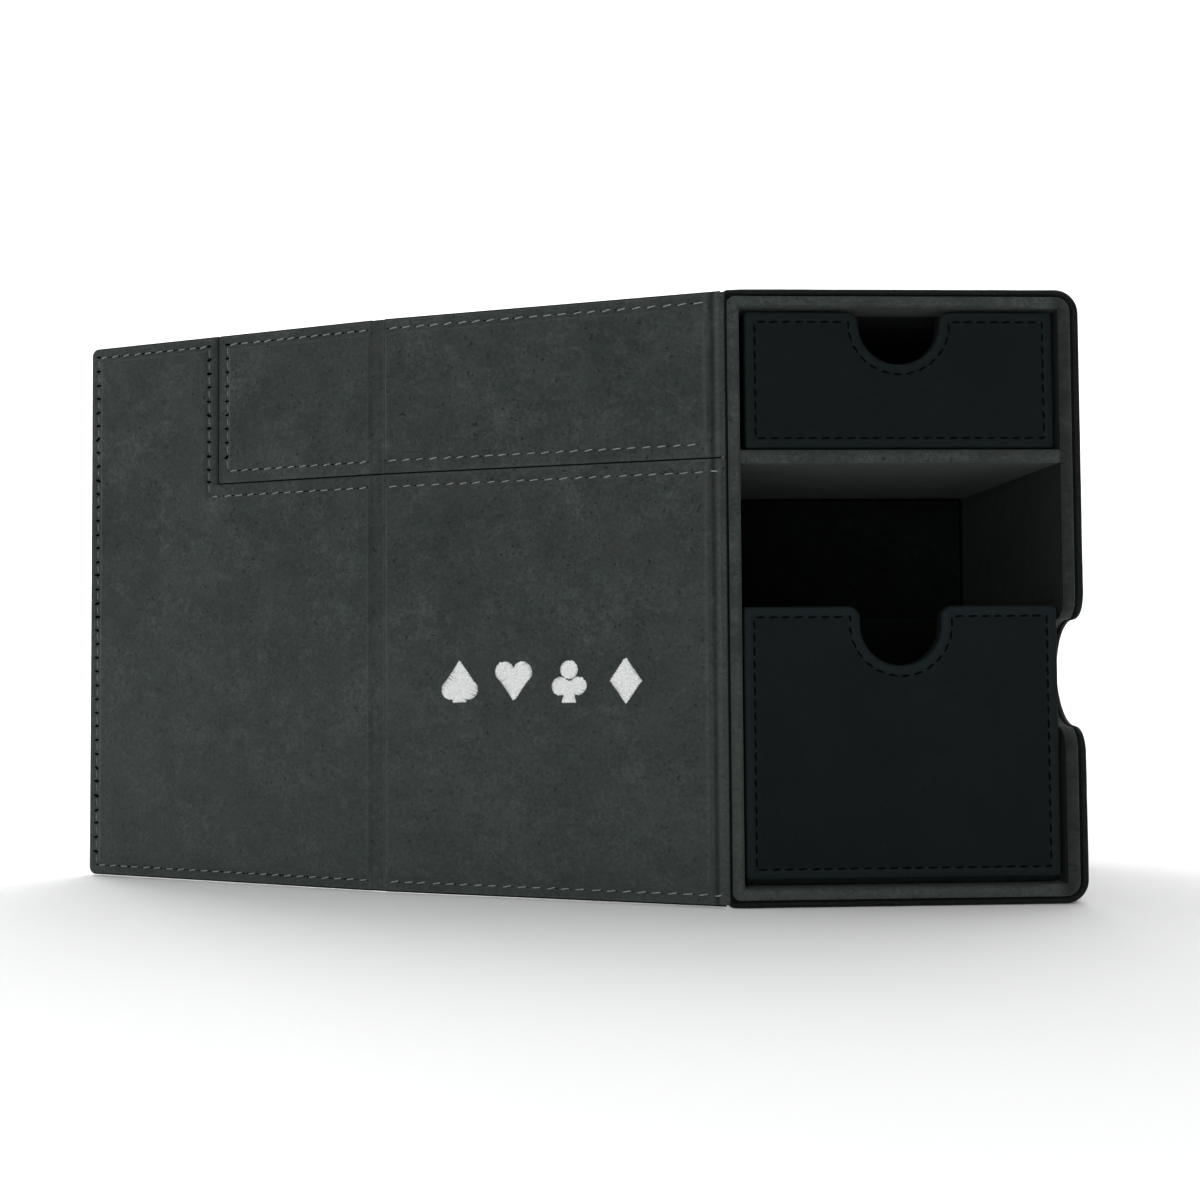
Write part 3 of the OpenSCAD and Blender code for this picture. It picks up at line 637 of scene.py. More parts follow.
def rim():
    """Suede strips over the boards' front edges: a ring round both bays, which also
    follows the finger notch, and the divider's edge."""
    stations = []
    r = 3.4
    ix0, ix1, iz0, iz1 = IX0, IX1, IZ0, IZ3
    ox0, ox1, oz0, oz1 = BX0 - 0.05, BX1 + 0.05, BZ0 - 0.05, BZ1 + 0.05

    def put(inner, outer, n, tau):
        stations.append((np.array(inner, float), np.array(outer, float), np.array(n, float), tau))

    src = [s for s in case_stations() if s[4] == "right" or s[4][0] == "notch"]
    for e, n, m, q, tag in src:                      # right stile, bottom to top
        w = 0.0 if tag == "right" else tag[1]
        z = e[2]
        if tag == "right" and (z < 6.5 or z > 136):
            continue
        put((ix1, e[1], z), (ox1, e[1], z), n, 0.62 * (1 - w) + 0.27 * w)
    for a in np.linspace(0, 90, 9):                  # top right corner
        c, s = math.cos(math.radians(a)), math.sin(math.radians(a))
        inner = (ix1 - 0.5 + 0.5 * c, YF, iz1 - 0.5 + 0.5 * s)
        put(inner, (ox1 - r + r * c, YF, oz1 - r + r * s), (0, 1, 0), 0.62)
    rl = 1.8
    for x in np.linspace(ox1 - r, ox0 + rl, 26)[1:-1]:
        put((min(x, ix1 - 0.5) if x > 0 else max(x, ix0 + 0.3), YF, iz1), (x, YF, oz1), (0, 1, 0), 0.62)
    for a in np.linspace(90, 180, 6):
        c, s = math.cos(math.radians(a)), math.sin(math.radians(a))
        put((ix0 + 0.3 + 0.3 * c, YF, iz1 - 0.3 + 0.3 * s), (ox0 + rl + rl * c, YF, oz1 - rl + rl * s), (0, 1, 0), 0.62)
    for z in np.linspace(oz1 - rl, oz0 + rl, 60)[1:-1]:
        put((ix0, YF, min(max(z, iz0 + 0.3), iz1 - 0.3)), (ox0, YF, z), (0, 1, 0), 0.62)
    for a in np.linspace(180, 270, 6):
        c, s = math.cos(math.radians(a)), math.sin(math.radians(a))
        put((ix0 + 0.3 + 0.3 * c, YF, iz0 + 0.3 + 0.3 * s), (ox0 + rl + rl * c, YF, oz0 + rl + rl * s), (0, 1, 0), 0.62)
    for x in np.linspace(ox0 + rl, ox1 - r, 26)[1:-1]:
        put((min(x, ix1 - 0.5) if x > 0 else max(x, ix0 + 0.3), YF, iz0), (x, YF, oz0), (0, 1, 0), 0.62)
    for a in np.linspace(270, 360, 9):
        c, s = math.cos(math.radians(a)), math.sin(math.radians(a))
        put((ix1 - 0.5 + 0.5 * c, YF, iz0 + 0.5 + 0.5 * s), (ox1 - r + r * c, YF, oz0 + r + r * s), (0, 1, 0), 0.62)
    rings = []
    for inner, outer, n, tau in stations:
        across = outer - inner
        width = np.linalg.norm(across)
        across = across / width
        p = []
        ri, ro = 0.6, 0.6
        hi = min(0.55, tau * 0.9)
        for k in range(6):                           # inner edge
            f = math.radians(90 * k / 5)
            p.append(inner + across * ri * (1 - math.cos(f)) + n * hi * (1 - math.sin(f)))
        for w in (0.35, 0.5, 0.65):                  # slight crown
            p.append(inner + across * width * w - n * 0.10)
        for k in range(6):
            f = math.radians(90 * (1 - k / 5))
            p.append(outer - across * ro * (1 - math.cos(f)) + n * hi * (1 - math.sin(f)))
        p.append(outer + n * tau)
        p.append(inner + n * tau)
        rings.append(np.array(p))
    rings = np.array(rings)
    v, f = loft(rings)
    am = wave(v, 9, 5.5) * 0.05
    v = v + np.stack([0 * am, am, 0 * am], 1)
    # Painted shade: the rim's rounded edges and back are painted darker than its crown.
    painted_shade = np.tile([0.9, 0.85, 0.75, 0.6, 0.4, 0.2, 0, 0, 0, 0.08, 0.16, 0.28, 0.42, 0.6, 0.75, 0.9, 0.9], len(rings))
    # Painted shade: the right stile is painted darker.
    # Painted light: the rim is painted paler towards its foot.
    piece = Piece().add(v, f, 0, 0.9 * smooth((70 - v[:, 2]) / 65.0), np.maximum(painted_shade * (v[:, 0] < 33), 0.95 * smooth((v[:, 0] - 33.0) / 4.0)))
    # the divider's edge, butted between the stiles and a little behind them
    xs = lines(ix0 + 0.05, ix1 - 0.05, (0, .1, .3, .6), (0, .1, .3, .6), 3)
    prof = []
    z0, z1, y = IZ1, IZ2, YF + 0.28
    for k in range(6):
        f_ = math.radians(90 * k / 5)
        prof.append((y + 0.5 * (1 - math.sin(f_)), z0 + 0.6 * (1 - math.cos(f_))))
    prof.append((y - 0.05, (z0 + z1) / 2))
    for k in range(6):
        f_ = math.radians(90 * (1 - k / 5))
        prof.append((y + 0.5 * (1 - math.sin(f_)), z1 - 0.6 * (1 - math.cos(f_))))
    prof += [(YF + 0.79, z1), (YF + 0.79, z0)]
    prof = np.array(prof)
    rr = []
    for x in xs:
        end = min(x - xs[0], xs[-1] - x)
        sink = 0.22 * (1 - smooth(end / 0.6))
        rr.append(np.stack([np.full(len(prof), x), np.minimum(prof[:, 0] + sink, YF + 0.79), prof[:, 1]], 1))
    v, f = loft(np.array(rr), closed_u=False, caps=True)
    # Painted shade: the upper half of the divider's edge, under the drawer, is painted darker.
    piece.add(v, f, 0, None, np.tile([0] * 7 + [0.35, 0.5, 0.7, 0.85, 1, 1, 1, 0], len(xs)))
    o = piece.build("suede_rim", [SUEDE])
    finish_piece(o, "case", ["rim_facing"])


def bay(name, node, z0, z1, notch):
    """Suede lining of a bay: the four sides as one wrapped sheet and the back."""
    t = 0.66
    y0, y1 = YF + 0.8, IY1
    r = 0.7
    st = []                                           # edge, into, inward normal, back point

    def put(e, n, m, q):
        st.append((np.array(e, float), np.array(n, float), np.array(m, float), np.array(q, float)))

    if notch:
        for e, n, m, q, tag in case_stations():
            if not (tag == "right" or tag[0] == "notch") or e[2] < z0 + r or e[2] > z1 - r:
                continue
            w = 0.0 if tag == "right" else tag[1]
            edge = e + n * (0.8 * (1 - w) + 0.42 * w)
            put((IX1, edge[1], edge[2]), n, (-1, 0, 0), (IX1, y1, q[2]))
        top_z = z1 - r
        put((IX1, y0, top_z), (0, 1, 0), (-1, 0, 0), (IX1, y1, top_z))
        st.insert(0, (np.array([IX1, y0, z0 + r]), np.array([0, 1., 0]), np.array([-1., 0, 0]), np.array([IX1, y1, z0 + r])))
    else:
        for z in np.linspace(z0 + r, z1 - r, 9):
            put((IX1, y0, z), (0, 1, 0), (-1, 0, 0), (IX1, y1, z))
    for a in (22.5, 45, 67.5):
        c, s = math.cos(math.radians(a)), math.sin(math.radians(a))
        put((IX1 - r + r * c, y0, z1 - r + r * s), (0, 1, 0), (-c, 0, -s), (IX1 - r + r * c, y1, z1 - r + r * s))
    for x in np.linspace(IX1 - r, IX0 + r, 22):
        put((x, y0, z1), (0, 1, 0), (0, 0, -1), (x, y1, z1))
    for a in (112.5, 135, 157.5):
        c, s = math.cos(math.radians(a)), math.sin(math.radians(a))
        put((IX0 + r + r * c, y0, z1 - r + r * s), (0, 1, 0), (-c, 0, -s), (IX0 + r + r * c, y1, z1 - r + r * s))
    for z in np.linspace(z1 - r, z0 + r, 20):
        put((IX0, y0, z), (0, 1, 0), (1, 0, 0), (IX0, y1, z))
    for a in (202.5, 225, 247.5):
        c, s = math.cos(math.radians(a)), math.sin(math.radians(a))
        put((IX0 + r + r * c, y0, z0 + r + r * s), (0, 1, 0), (-c, 0, -s), (IX0 + r + r * c, y1, z0 + r + r * s))
    for x in np.linspace(IX0 + r, IX1 - r, 22):
        put((x, y0, z0), (0, 1, 0), (0, 0, 1), (x, y1, z0))
    for a in (292.5, 315, 337.5):
        c, s = math.cos(math.radians(a)), math.sin(math.radians(a))
        put((IX1 - r + r * c, y0, z0 + r + r * s), (0, 1, 0), (-c, 0, -s), (IX1 - r + r * c, y1, z0 + r + r * s))
    rings = []
    for e, n, m, q in st:
        p = []
        mid0 = e + n * 1.5
        for x in (e, e + n * 0.5):
            p.append(x)
        for k in range(13):
            p.append(mid0 + (q - mid0) * k / 12)
        p.append(q - m * t)
        for k in range(1, 4):
            p.append(q + (mid0 - q) * k / 4 - m * t)
        p.append(e - m * t)
        rings.append(np.array(p))
    rings = np.array(rings)
    a_n, b_n, _ = rings.shape
    normals = np.repeat(np.array([s[2] for s in st]), b_n, axis=0)
    flat = rings.reshape(-1, 3)
    inner = np.zeros((a_n, b_n), bool)
    inner[:, 3:14] = True
    flat = flat - normals * ((0.04 + 0.04 * wave(flat, 14, 2.2)) * inner.reshape(-1))[:, None]
    v, f = loft(flat.reshape(a_n, b_n, 3))
    walls = [1 if np.mean([v[k][0] for k in face]) > IX1 - 0.45 else 0 for face in f]    # painted shade: the right wall takes the darker suede
    if z0 > IZ1:                                      # painted shade: darker towards the back, behind the drawer's front
        walls = [2 if np.mean([v[k][1] for k in face]) > YF + 9 else w for face, w in zip(f, walls)]
    deep = 0.9 * smooth((v[:, 1] - YF - 2) / 7.0) * (z0 > IZ1)
    piece = Piece().add(v, f, walls, None, deep)
    us = lines(IX0 - 0.3, IX1 + 0.3, (0, .4), (0, .4), 5)
    vs = lines(z0 - 0.3, z1 + 0.3, (0, .4), (0, .4), 5)
    v, f, _, _ = grid_shell(us, vs, lambda x, z, d, j: y1 + 0.02 - 0.04 * np.sin(x / 9) * np.cos(z / 11), lambda x, z, d, j: np.full(len(x), y1 + 0.66))
    piece.add(v, f, 2)
    o = piece.build(name, [SUEDE_IN_PAINTED_SHADE, SUEDE_IN_DEEPER_PAINTED_SHADE, SUEDE_IN_DARKEST_PAINTED_SHADE])
    finish_piece(o, "case", [node])
    depth, around = y1 - y0, 2 * (IX1 - IX0 + z1 - z0)
    area = (depth * around + (IX1 - IX0) * (z1 - z0)) * 1e-6
    width, length = (depth * 2 + (z1 - z0)) * 1e-3, (around / 2 + depth) * 1e-3


def back_panel():
    """Leather panel on the back, its edges rounded inside the wrap's."""
    x0, x1, z0, z1 = XL + 1.15, XR - 1.15, 1.15, H - 1.15
    off = (0, .04, .12, .25, .45, .7, 1.1, 1.8)
    us, vs = lines(x0, x1, off, off, 4), lines(z0, z1, off, off, 4)
    top = lambda x, z, d, j: YB - 0.10 - drop(d, 0.75) - 0.0 * x
    bot = lambda x, z, d, j: np.full(len(x), YBB + 0.02)
    v, f, tags, wear_and_painted_light = grid_shell(us, vs, top, bot, corners=[(x1, z1, 1, 1, 4.6), (x1, z0, 1, -1, 4.6), (x0, z0, -1, -1, .6), (x0, z1, -1, 1, .6)])
    n = len(v) // 2
    v[:n, 1] -= 0.05 + 0.05 * wave(v[:n], 16, 7.7)
    o = Piece().add(v, f, 0, wear_and_painted_light).build("back_leather", [LEATHER])
    finish_piece(o, "case", ["back_cover"])


outer_cover()
rim()
bay("upper_bay_suede", "upper_bay_lining", IZ2, IZ3, False)
bay("lower_bay_suede", "lower_bay_lining", IZ0, IZ1, True)
back_panel()


# ---------------------------------------------------------------- thread
def capsules(stitches, frame_fn, rings=9, segs=8, axis="suede"):
    """Small loops of thread. Each stitch is (s, z, angle, length, half width, half height, y, side)
    where side is +1 when the thread lies on the +y face and -1 on the other."""
    verts, faces = [], []
    ts = np.sin(np.linspace(-math.pi / 2, math.pi / 2, rings))
    n = 0
    for s, z, a, length, hw, hh, y, side in stitches:
        ca, sa = math.cos(a), math.sin(a)
        for t in ts:
            rr = max(0.25, math.sqrt(max(0, 1 - t ** 6)))
            lift = side * (0.10 * (1 - t * t) - 0.17 * t ** 4)
            for k in range(segs):
                th = 2 * math.pi * k / segs + 1.1 * t
                ox, oy = hw * rr * math.cos(th), hh * rr * math.sin(th)
                oy *= 1 + 0.10 * math.cos(2 * th)
                verts.append((s + ca * t * length / 2 - sa * ox, y + lift + oy, z + sa * t * length / 2 + ca * ox))
        for i in range(rings - 1):
            for k in range(segs):
                k1 = (k + 1) % segs
                faces.append((n + i * segs + k, n + (i + 1) * segs + k, n + (i + 1) * segs + k1, n + i * segs + k1))
        faces.append(tuple(n + k for k in range(segs)))
        faces.append(tuple(n + (rings - 1) * segs + k for k in reversed(range(segs))))
        n += rings * segs
    return frame_fn(np.array(verts)), faces


def dots(points, frame_fn, segs=8):
    """Needle holes in painted shade: small sunk dark lens shapes. Each is (s, z, y, radius, side, angle)."""
    verts, faces, n = [], [], 0
    for s, z, y, r, side, a, *flat in points:
        ca, sa = math.cos(a), math.sin(a)
        squeeze = flat[0] if flat else 0.7
        rows = ((1.0, -0.10), (0.92, 0.0), (0.45, 0.035))
        for rad, up in rows:
            for k in range(segs):
                th = 2 * math.pi * k / segs
                ox, oz = r * rad * math.cos(th), squeeze * r * rad * math.sin(th)
                verts.append((s + ca * ox - sa * oz, y + side * up, z + sa * ox + ca * oz))
        for i in range(2):
            for k in range(segs):
                k1 = (k + 1) % segs
                faces.append((n + i * segs + k, n + (i + 1) * segs + k, n + (i + 1) * segs + k1, n + i * segs + k1))
        faces.append(tuple(n + k for k in range(segs)))
        faces.append(tuple(n + 2 * segs + k for k in reversed(range(segs))))
        n += 3 * segs
    return frame_fn(np.array(verts)), faces


def along(path, pitch, rng):
    """Evenly spaced places along a 2-D path: (s, z, direction)."""
    path = np.array(path, float)
    seg = np.linalg.norm(np.diff(path, axis=0), axis=1)
    cum = np.concatenate([[0], np.cumsum(seg)])
    n = max(1, int(round(cum[-1] / pitch)))
    step = cum[-1] / n
    out = []
    for i in range(n):
        mid = (i + 0.5) * step + rng.normal(0, 0.03) * step
        j = min(int(np.searchsorted(cum, mid, "right")) - 1, len(seg) - 1)
        f = (mid - cum[j]) / seg[j]
        p = path[j] + (path[j + 1] - path[j]) * f
        d = path[j + 1] - path[j]
        out.append((p[0], p[1], math.atan2(d[1], d[0]), step))
    return out


# ---------------------------------------------------------------- accessory drawer and card tray
def front_outline(x0, z0, w, h, depth, i, fine=True):
    """Outline of a front with its thumb notch, drawn in by i all round, with the same
    number of points at every i."""
    r, f = 9.4, 2.8
    cx, top = x0 + w / 2, z0 + h
    rc, zc = max(0.15, 1.0 - i * 0.6), z0 + h - depth + r
    q = max(0.15, f - i)
    fz = top - i - q                                 # centre of the fillet beside the notch
    turn = math.degrees(math.asin(max(0.0, zc - fz) / (r + i + q)))
    fx = (r + i + q) * math.cos(math.radians(turn))

    def line(a, b, n):
        return [(a[0] + (b[0] - a[0]) * k / n, a[1] + (b[1] - a[1]) * k / n) for k in range(1, n)]

    parts = [arc(x0 + i + rc, z0 + i + rc, rc, 180, 270, 5), arc(x0 + w - i - rc, z0 + i + rc, rc, 270, 360, 5),
             arc(x0 + w - i - rc, top - i - rc, rc, 0, 90, 5),
             arc(cx + fx, fz, q, 90, 180 - turn, 7), arc(cx, zc, r + i, -turn, turn - 180, 28),
             arc(cx - fx, fz, q, turn, 90, 7), arc(x0 + i + rc, top - i - rc, rc, 90, 180, 5)]
    counts = [20, 18, 6, 2, 2, 6, 18]
    out = []
    for k, part in enumerate(parts):
        out += [tuple(p) for p in part]
        nxt = parts[(k + 1) % len(parts)][0]
        out += line(tuple(part[-1]), tuple(nxt), counts[k])
    return np.array(out)


def fill(outline, step=2.2):
    """Triangles over the inside of a closed outline, with points inside it."""
    n = len(outline)
    a, b = outline, np.roll(outline, -1, axis=0)
    lo, hi = outline.min(0), outline.max(0)
    gx, gz = np.meshgrid(np.arange(lo[0] + step / 2, hi[0], step), np.arange(lo[1] + step / 2, hi[1], step), indexing="ij")
    g = np.stack([gx.ravel(), gz.ravel()], 1)
    g = g[inside(g, outline) & (segment_distance(g, a, b) > 0.45 * step)]
    pts = [Vector(p) for p in outline] + [Vector(p) for p in g]
    vo, eo, fo, ov, oe, of = delaunay_2d_cdt(pts, [(i, (i + 1) % n) for i in range(n)], [], 0, 1e-7, True)
    vo = np.array([tuple(p) for p in vo])
    where = [o[0] if o else -1 for o in ov]
    tri = np.array([list(t) for t in fo if len(t) == 3])
    c = vo[tri].mean(1)
    tri = tri[inside(c, outline)]
    order = np.array(where)
    back = np.zeros(len(pts), int)
    for new, old in enumerate(order):
        back[old] = new
    remap = np.argsort(back)
    lut = np.array(order)
    return np.array([tuple(p) for p in pts]), lut[tri]


def inside(p, poly):
    x, y = p[:, 0][:, None], p[:, 1][:, None]
    a, b = poly, np.roll(poly, -1, axis=0)
    cond = (a[:, 1] > y) != (b[:, 1] > y)
    xi = (b[:, 0] - a[:, 0]) * (y - a[:, 1]) / np.where(b[:, 1] == a[:, 1], 1e-12, b[:, 1] - a[:, 1]) + a[:, 0]
    return (cond & (x < xi)).sum(1) % 2 == 1


def front_piece(name, node, body, x0, z0, w, h, depth, seed):
    """Leather over a front board: wrapped edge, a soft border with a painted highlight, the sunk stitch
    line and a flat field."""
    yf, back = YF + 0.8, YF + 0.8 + 2.8
    cols = []                                         # (inset, y, wear)
    cols += [(0.84, back, 0), (0.12, back, 0), (0.0, back - 0.15, 0)]
    cols += [(0.0, yf + 1.6, 0.2)]
    for k in range(6):
        f = math.radians(90 * k / 5)
        cols.append((0.85 * (1 - math.cos(f)), yf + 0.85 * (1 - math.sin(f)), 1.0 - 0.12 * k))
    cols += [(1.15, yf - 0.08, 0.1), (1.5, yf - 0.12, 0), (1.8, yf - 0.10, 0), (2.05, yf - 0.05, 0), (2.25, yf + 0.02, 0), (2.4, yf + 0.06, 0),
             (2.55, yf + 0.08, 0), (2.75, yf + 0.08, 0), (3.1, yf + 0.07, 0), (3.8, yf + 0.06, 0), (4.8, yf + 0.06, 0)]
    loops = [front_outline(x0, z0, w, h, depth, c[0]) for c in cols]
    inner = [(0.84, yf + 0.8 - 0.02), (0.84, back)]
    n = len(loops[0])
    rings = [np.stack([l[:, 0], np.full(n, c[1]), l[:, 1]], 1) for l, c in zip(loops, cols)]
    verts = np.concatenate(rings)
    faces = []
    for i in range(len(rings) - 1):
        for k in range(n):
            k1 = (k + 1) % n
            faces.append((i * n + k, (i + 1) * n + k, (i + 1) * n + k1, i * n + k1))
    wear_and_painted_light = np.concatenate([np.full(n, c[2]) for c in cols])
    low = z0 < 50
    # Painted highlight: the soft border is painted paler, fully on the tray front and at 0.42 on the drawer front.
    tone = np.concatenate([np.full(n, 1 - smooth((c[0] - 2.2) / 1.0)) for c in cols]) * (1.0 if low else 0.42)
    # field in front
    field, tri = fill(loops[-1], 2.4)
    base = len(verts)
    extra = field[n:]
    ids = np.concatenate([np.arange((len(rings) - 1) * n, len(rings) * n), base + np.arange(len(extra))])
    verts = np.concatenate([verts, np.stack([extra[:, 0], np.full(len(extra), yf + 0.06), extra[:, 1]], 1)])
    faces += ids[tri].tolist()
    wear_and_painted_light = np.concatenate([wear_and_painted_light, np.zeros(len(extra))])
    # inside, against the board
    cavity = front_outline(x0, z0, w, h, depth, 0.84)
    base = len(verts)
    verts = np.concatenate([verts, np.stack([cavity[:, 0], np.full(n, yf + 0.78), cavity[:, 1]], 1)])
    wear_and_painted_light = np.concatenate([wear_and_painted_light, np.zeros(n)])
    faces += [(k, (k + 1) % n, base + (k + 1) % n, base + k) for k in range(n)]
    field2, tri2 = fill(cavity, 6)
    extra2 = field2[n:]
    ids2 = np.concatenate([base + np.arange(n), len(verts) + np.arange(len(extra2))])
    verts = np.concatenate([verts, np.stack([extra2[:, 0], np.full(len(extra2), yf + 0.78), extra2[:, 1]], 1)])
    wear_and_painted_light = np.concatenate([wear_and_painted_light, np.zeros(len(extra2))])
    faces += ids2[tri2].tolist()
    # The tray front is also painted a little paler all over.
    tone = np.maximum(np.concatenate([tone, np.zeros(len(verts) - len(tone))]), 0.16 if low else 0)
    shown = verts[:, 1] < yf + 0.5
    verts[:, 1] += shown * wave(verts, 7, seed) * 0.03
    o = Piece().add(verts, faces, 0, wear_and_painted_light, tone).build(name, [FRONT_LEATHER])
    finish_piece(o, body, [node])


def front_stitches(name, node, body, x0, z0, w, h, depth, seed):
    path = front_outline(x0, z0, w, h, depth, 2.45)
    path = np.concatenate([path, path[:1]])
    y = YF + 0.8 + 0.06
    rng = np.random.default_rng(seed)
    st, holes = [], []
    for s, z, a, step in along(path, 3.0, rng):
        st.append((s, z, a + 0.12 + rng.normal(0, 0.05), 1.65, 0.24, 0.16, y - 0.02, -1))
        for e in (-1, 1):
            holes.append((s + e * 0.82 * math.cos(a), z + e * 0.82 * math.sin(a), y - 0.01, 0.30, -1, a))
    same = lambda p: p
    piece = Piece()
    v, f = capsules(st, same)
    piece.add(v, f, 0)
    v, f = dots(holes, same)
    piece.add(v, f, 1)
    o = piece.build(name, [BLACK_THREAD, NEEDLE_HOLE_SHADE])
    finish_piece(o, body, [node])


def rounded_box(x0, x1, y0, y1, z0, z1, r, axis):
    """A thin wall with soft edges. axis is its thin direction."""
    off = (0, .12 * r, .45 * r, r)
    if axis == "x":
        us, vs = lines(y0, y1, off, off, 6), lines(z0, z1, off, off, 6)
        a, b = x0, x1
        back = lambda p: np.stack([p[:, 1], p[:, 0], p[:, 2]], 1)
    elif axis == "y":
        us, vs = lines(x0, x1, off, off, 6), lines(z0, z1, off, off, 6)
        a, b = y0, y1
        back = lambda p: p
    else:
        us, vs = lines(x0, x1, off, off, 6), lines(y0, y1, off, off, 6)
        a, b = z0, z1
        back = lambda p: np.stack([p[:, 0], p[:, 2], p[:, 1]], 1)
    r = min(r, (b - a) / 2 - 0.02)
    v, f, _, wear_and_painted_light = grid_shell(us, vs, lambda x, z, d, j: b - drop(d, r), lambda x, z, d, j: a + drop(d, r))
    return back(v), f, wear_and_painted_light


def box_pieces(prefix, body, dx0, dx1, dz0, dz1, z_floor, front):
    """Walls, floor and lining behind a front."""
    y0, y1 = YF + 0.8 + 2.8, YF + 0.8 + 82
    t = 1.6
    for side, a, b in (("left", dx0, dx0 + t), ("right", dx1 - t, dx1)):
        v, f, w = rounded_box(a, b, y0, y1, dz0, dz1, 0.55, "x")
        o = Piece().add(v, f, 0, w).build(f"{prefix}_{side}_wall_leather", [FRONT_LEATHER])
        finish_piece(o, body, [f"{prefix}_{side}_wall"])
    v, f, w = rounded_box(dx0 + t, dx1 - t, y1 - t, y1, dz0, dz1, 0.55, "y")
    o = Piece().add(v, f, 0, w).build(f"{prefix}_back_wall_leather", [FRONT_LEATHER])
    finish_piece(o, body, [f"{prefix}_back_wall"])
    v, f, w = rounded_box(dx0 + t, dx1 - t, y0, y1 - t, dz0, dz0 + t, 0.3, "z")
    o = Piece().add(v, f, 0, w).build(f"{prefix}_floor_leather", [FRONT_LEATHER])
    finish_piece(o, body, [f"{prefix}_floor"])
    # lining
    l = 0.7
    piece = Piece()
    x_a, x_b, ya, yb, za, zb = dx0 + t + 0.02, dx1 - t - 0.02, y0 + 0.02, y1 - t - 0.02, dz0 + t + 0.02, dz1 - 1.0
    for a, b in ((x_a, x_a + l), (x_b - l, x_b)):
        v, f, w = rounded_box(a, b, ya, yb, za, zb, 0.3, "x")
        piece.add(v, f, 0, w)
    v, f, w = rounded_box(x_a, x_b, yb - l, yb, za, zb, 0.3, "y")
    piece.add(v, f, 0, w)
    v, f, w = rounded_box(x_a, x_b, ya, yb, za, za + l, 0.3, "z")
    v[:, 2] += 0.03 * wave(v, 12, 1.3)
    piece.add(v, f, 0, w)
    # behind the front, with the thumb notch
    fx, fz, fw, fh, fd = front
    r, q, cx, zc = 9.4, 2.8, fx + fw / 2, fz + fh - fd + 9.4
    top = fz + fh - 0.86

    def outline(i):
        def half(z):
            return r + q - math.sqrt(max(0.0, (q - i) ** 2 - max(0.0, z - (fz + fh - q)) ** 2))

        pts = [(x_a + i, za + i), (x_b - i, za + i), (x_b - i, top - i)]
        pts = [np.array(p) for p in pts]
        ring = []
        for p, q_, n in ((pts[0], pts[1], 16), (pts[1], pts[2], 10)):
            ring += [p + (q_ - p) * k / n for k in range(n)]
        c0 = np.array([cx + half(top - i), top - i])
        ring += [pts[2] + (c0 - pts[2]) * k / 8 for k in range(8)]
        ring += [np.array([cx + half(z), z]) for z in np.linspace(top - i, zc, 9)[:-1]]
        ring += list(arc(cx, zc, r + i, 0, -180, 24))
        ring += [np.array([cx - half(z), z]) for z in np.linspace(zc, top - i, 9)[1:]]
        c1 = np.array([2 * cx - c0[0], top - i])
        e = np.array([x_a + i, top - i])
        ring += [c1 + (e - c1) * k / 8 for k in range(1, 9)]
        s = pts[0]
        ring += [e + (s - e) * k / 10 for k in range(1, 10)]
        return np.array(ring)

    loops = [(0.0, ya), (0.0, ya + 0.45), (0.08, ya + 0.6), (0.25, ya + l)]
    rings = [np.stack([outline(i)[:, 0], np.full(len(outline(i)), y), outline(i)[:, 1]], 1) for i, y in loops]
    n = len(rings[0])
    verts = np.concatenate(rings)
    faces = []
    for i in range(len(rings) - 1):
        for k in range(n):
            k1 = (k + 1) % n
            faces.append((i * n + k, (i + 1) * n + k, (i + 1) * n + k1, i * n + k1))
    for which, i in ((0, 0.0), (len(rings) - 1, 0.25)):
        pts, tri = fill(outline(i), 5)
        ids = np.concatenate([which * n + np.arange(n), len(verts) + np.arange(len(pts) - n)])
        verts = np.concatenate([verts, np.stack([pts[n:, 0], np.full(len(pts) - n, loops[which][1]), pts[n:, 1]], 1)])
        faces += ids[tri].tolist()
    piece.add(verts, faces)
    o = piece.build(f"{prefix}_suede", [SUEDE_IN_DARKEST_PAINTED_SHADE])
    finish_piece(o, body, [f"{prefix}_lining"])


DRAWER = (-36.8, 105.3, 72.4, 32.0, 12.2)
TRAY = (-37.65, 6.2, 73.1, 62.6, 13.7)
front_piece("drawer_front_leather", "drawer_front_cover", "accessory_drawer", *DRAWER, 4.4)
front_piece("tray_front_leather", "tray_front_cover", "card_tray", *TRAY, 8.3)
front_stitches("drawer_front_thread", "drawer_front_stitching", "accessory_drawer", *DRAWER, 11)
front_stitches("tray_front_thread", "tray_front_stitching", "card_tray", *TRAY, 12)
box_pieces("drawer", "accessory_drawer", -36.5, 35.3, 105.3, 136.7, 105.3, DRAWER)
box_pieces("tray", "card_tray", -37.35, 35.15, 4.8, 68.2, 4.8, TRAY)


# ---------------------------------------------------------------- flaps
HEM_OFF = (0, .04, .12, .25, .4, .46, .6, .9, 1.3, 1.8, 2.1, 2.35, 2.6, 2.85, 3.1, 3.3, 3.5, 3.57, 3.8, 4.1, 4.6)
JOINT_OFF = (0, .12, .25, .38, .5, .56, .62, .75, .9, 1.1, 1.3, 1.6, 2)
CUT_IN = 0.242                                       # how far the soft edges bulge into the cut
E, C = 2.6, 3.0                                      # stitches from the edges and from the cut
F0, F1, S0 = 3.9, 86.1, 2.9
L_S0, SIDE_END, STRIP_END = 49.1, 90.5, 48.5
DY = -CREASE_Y                                       # the side panel's y is measured from the crease


def painted_foot_light(z):
    """Painted light: the suede is painted paler towards the foot of the flaps."""
    return 0.6 * smooth((105 - np.asarray(z, float)) / 95.0)


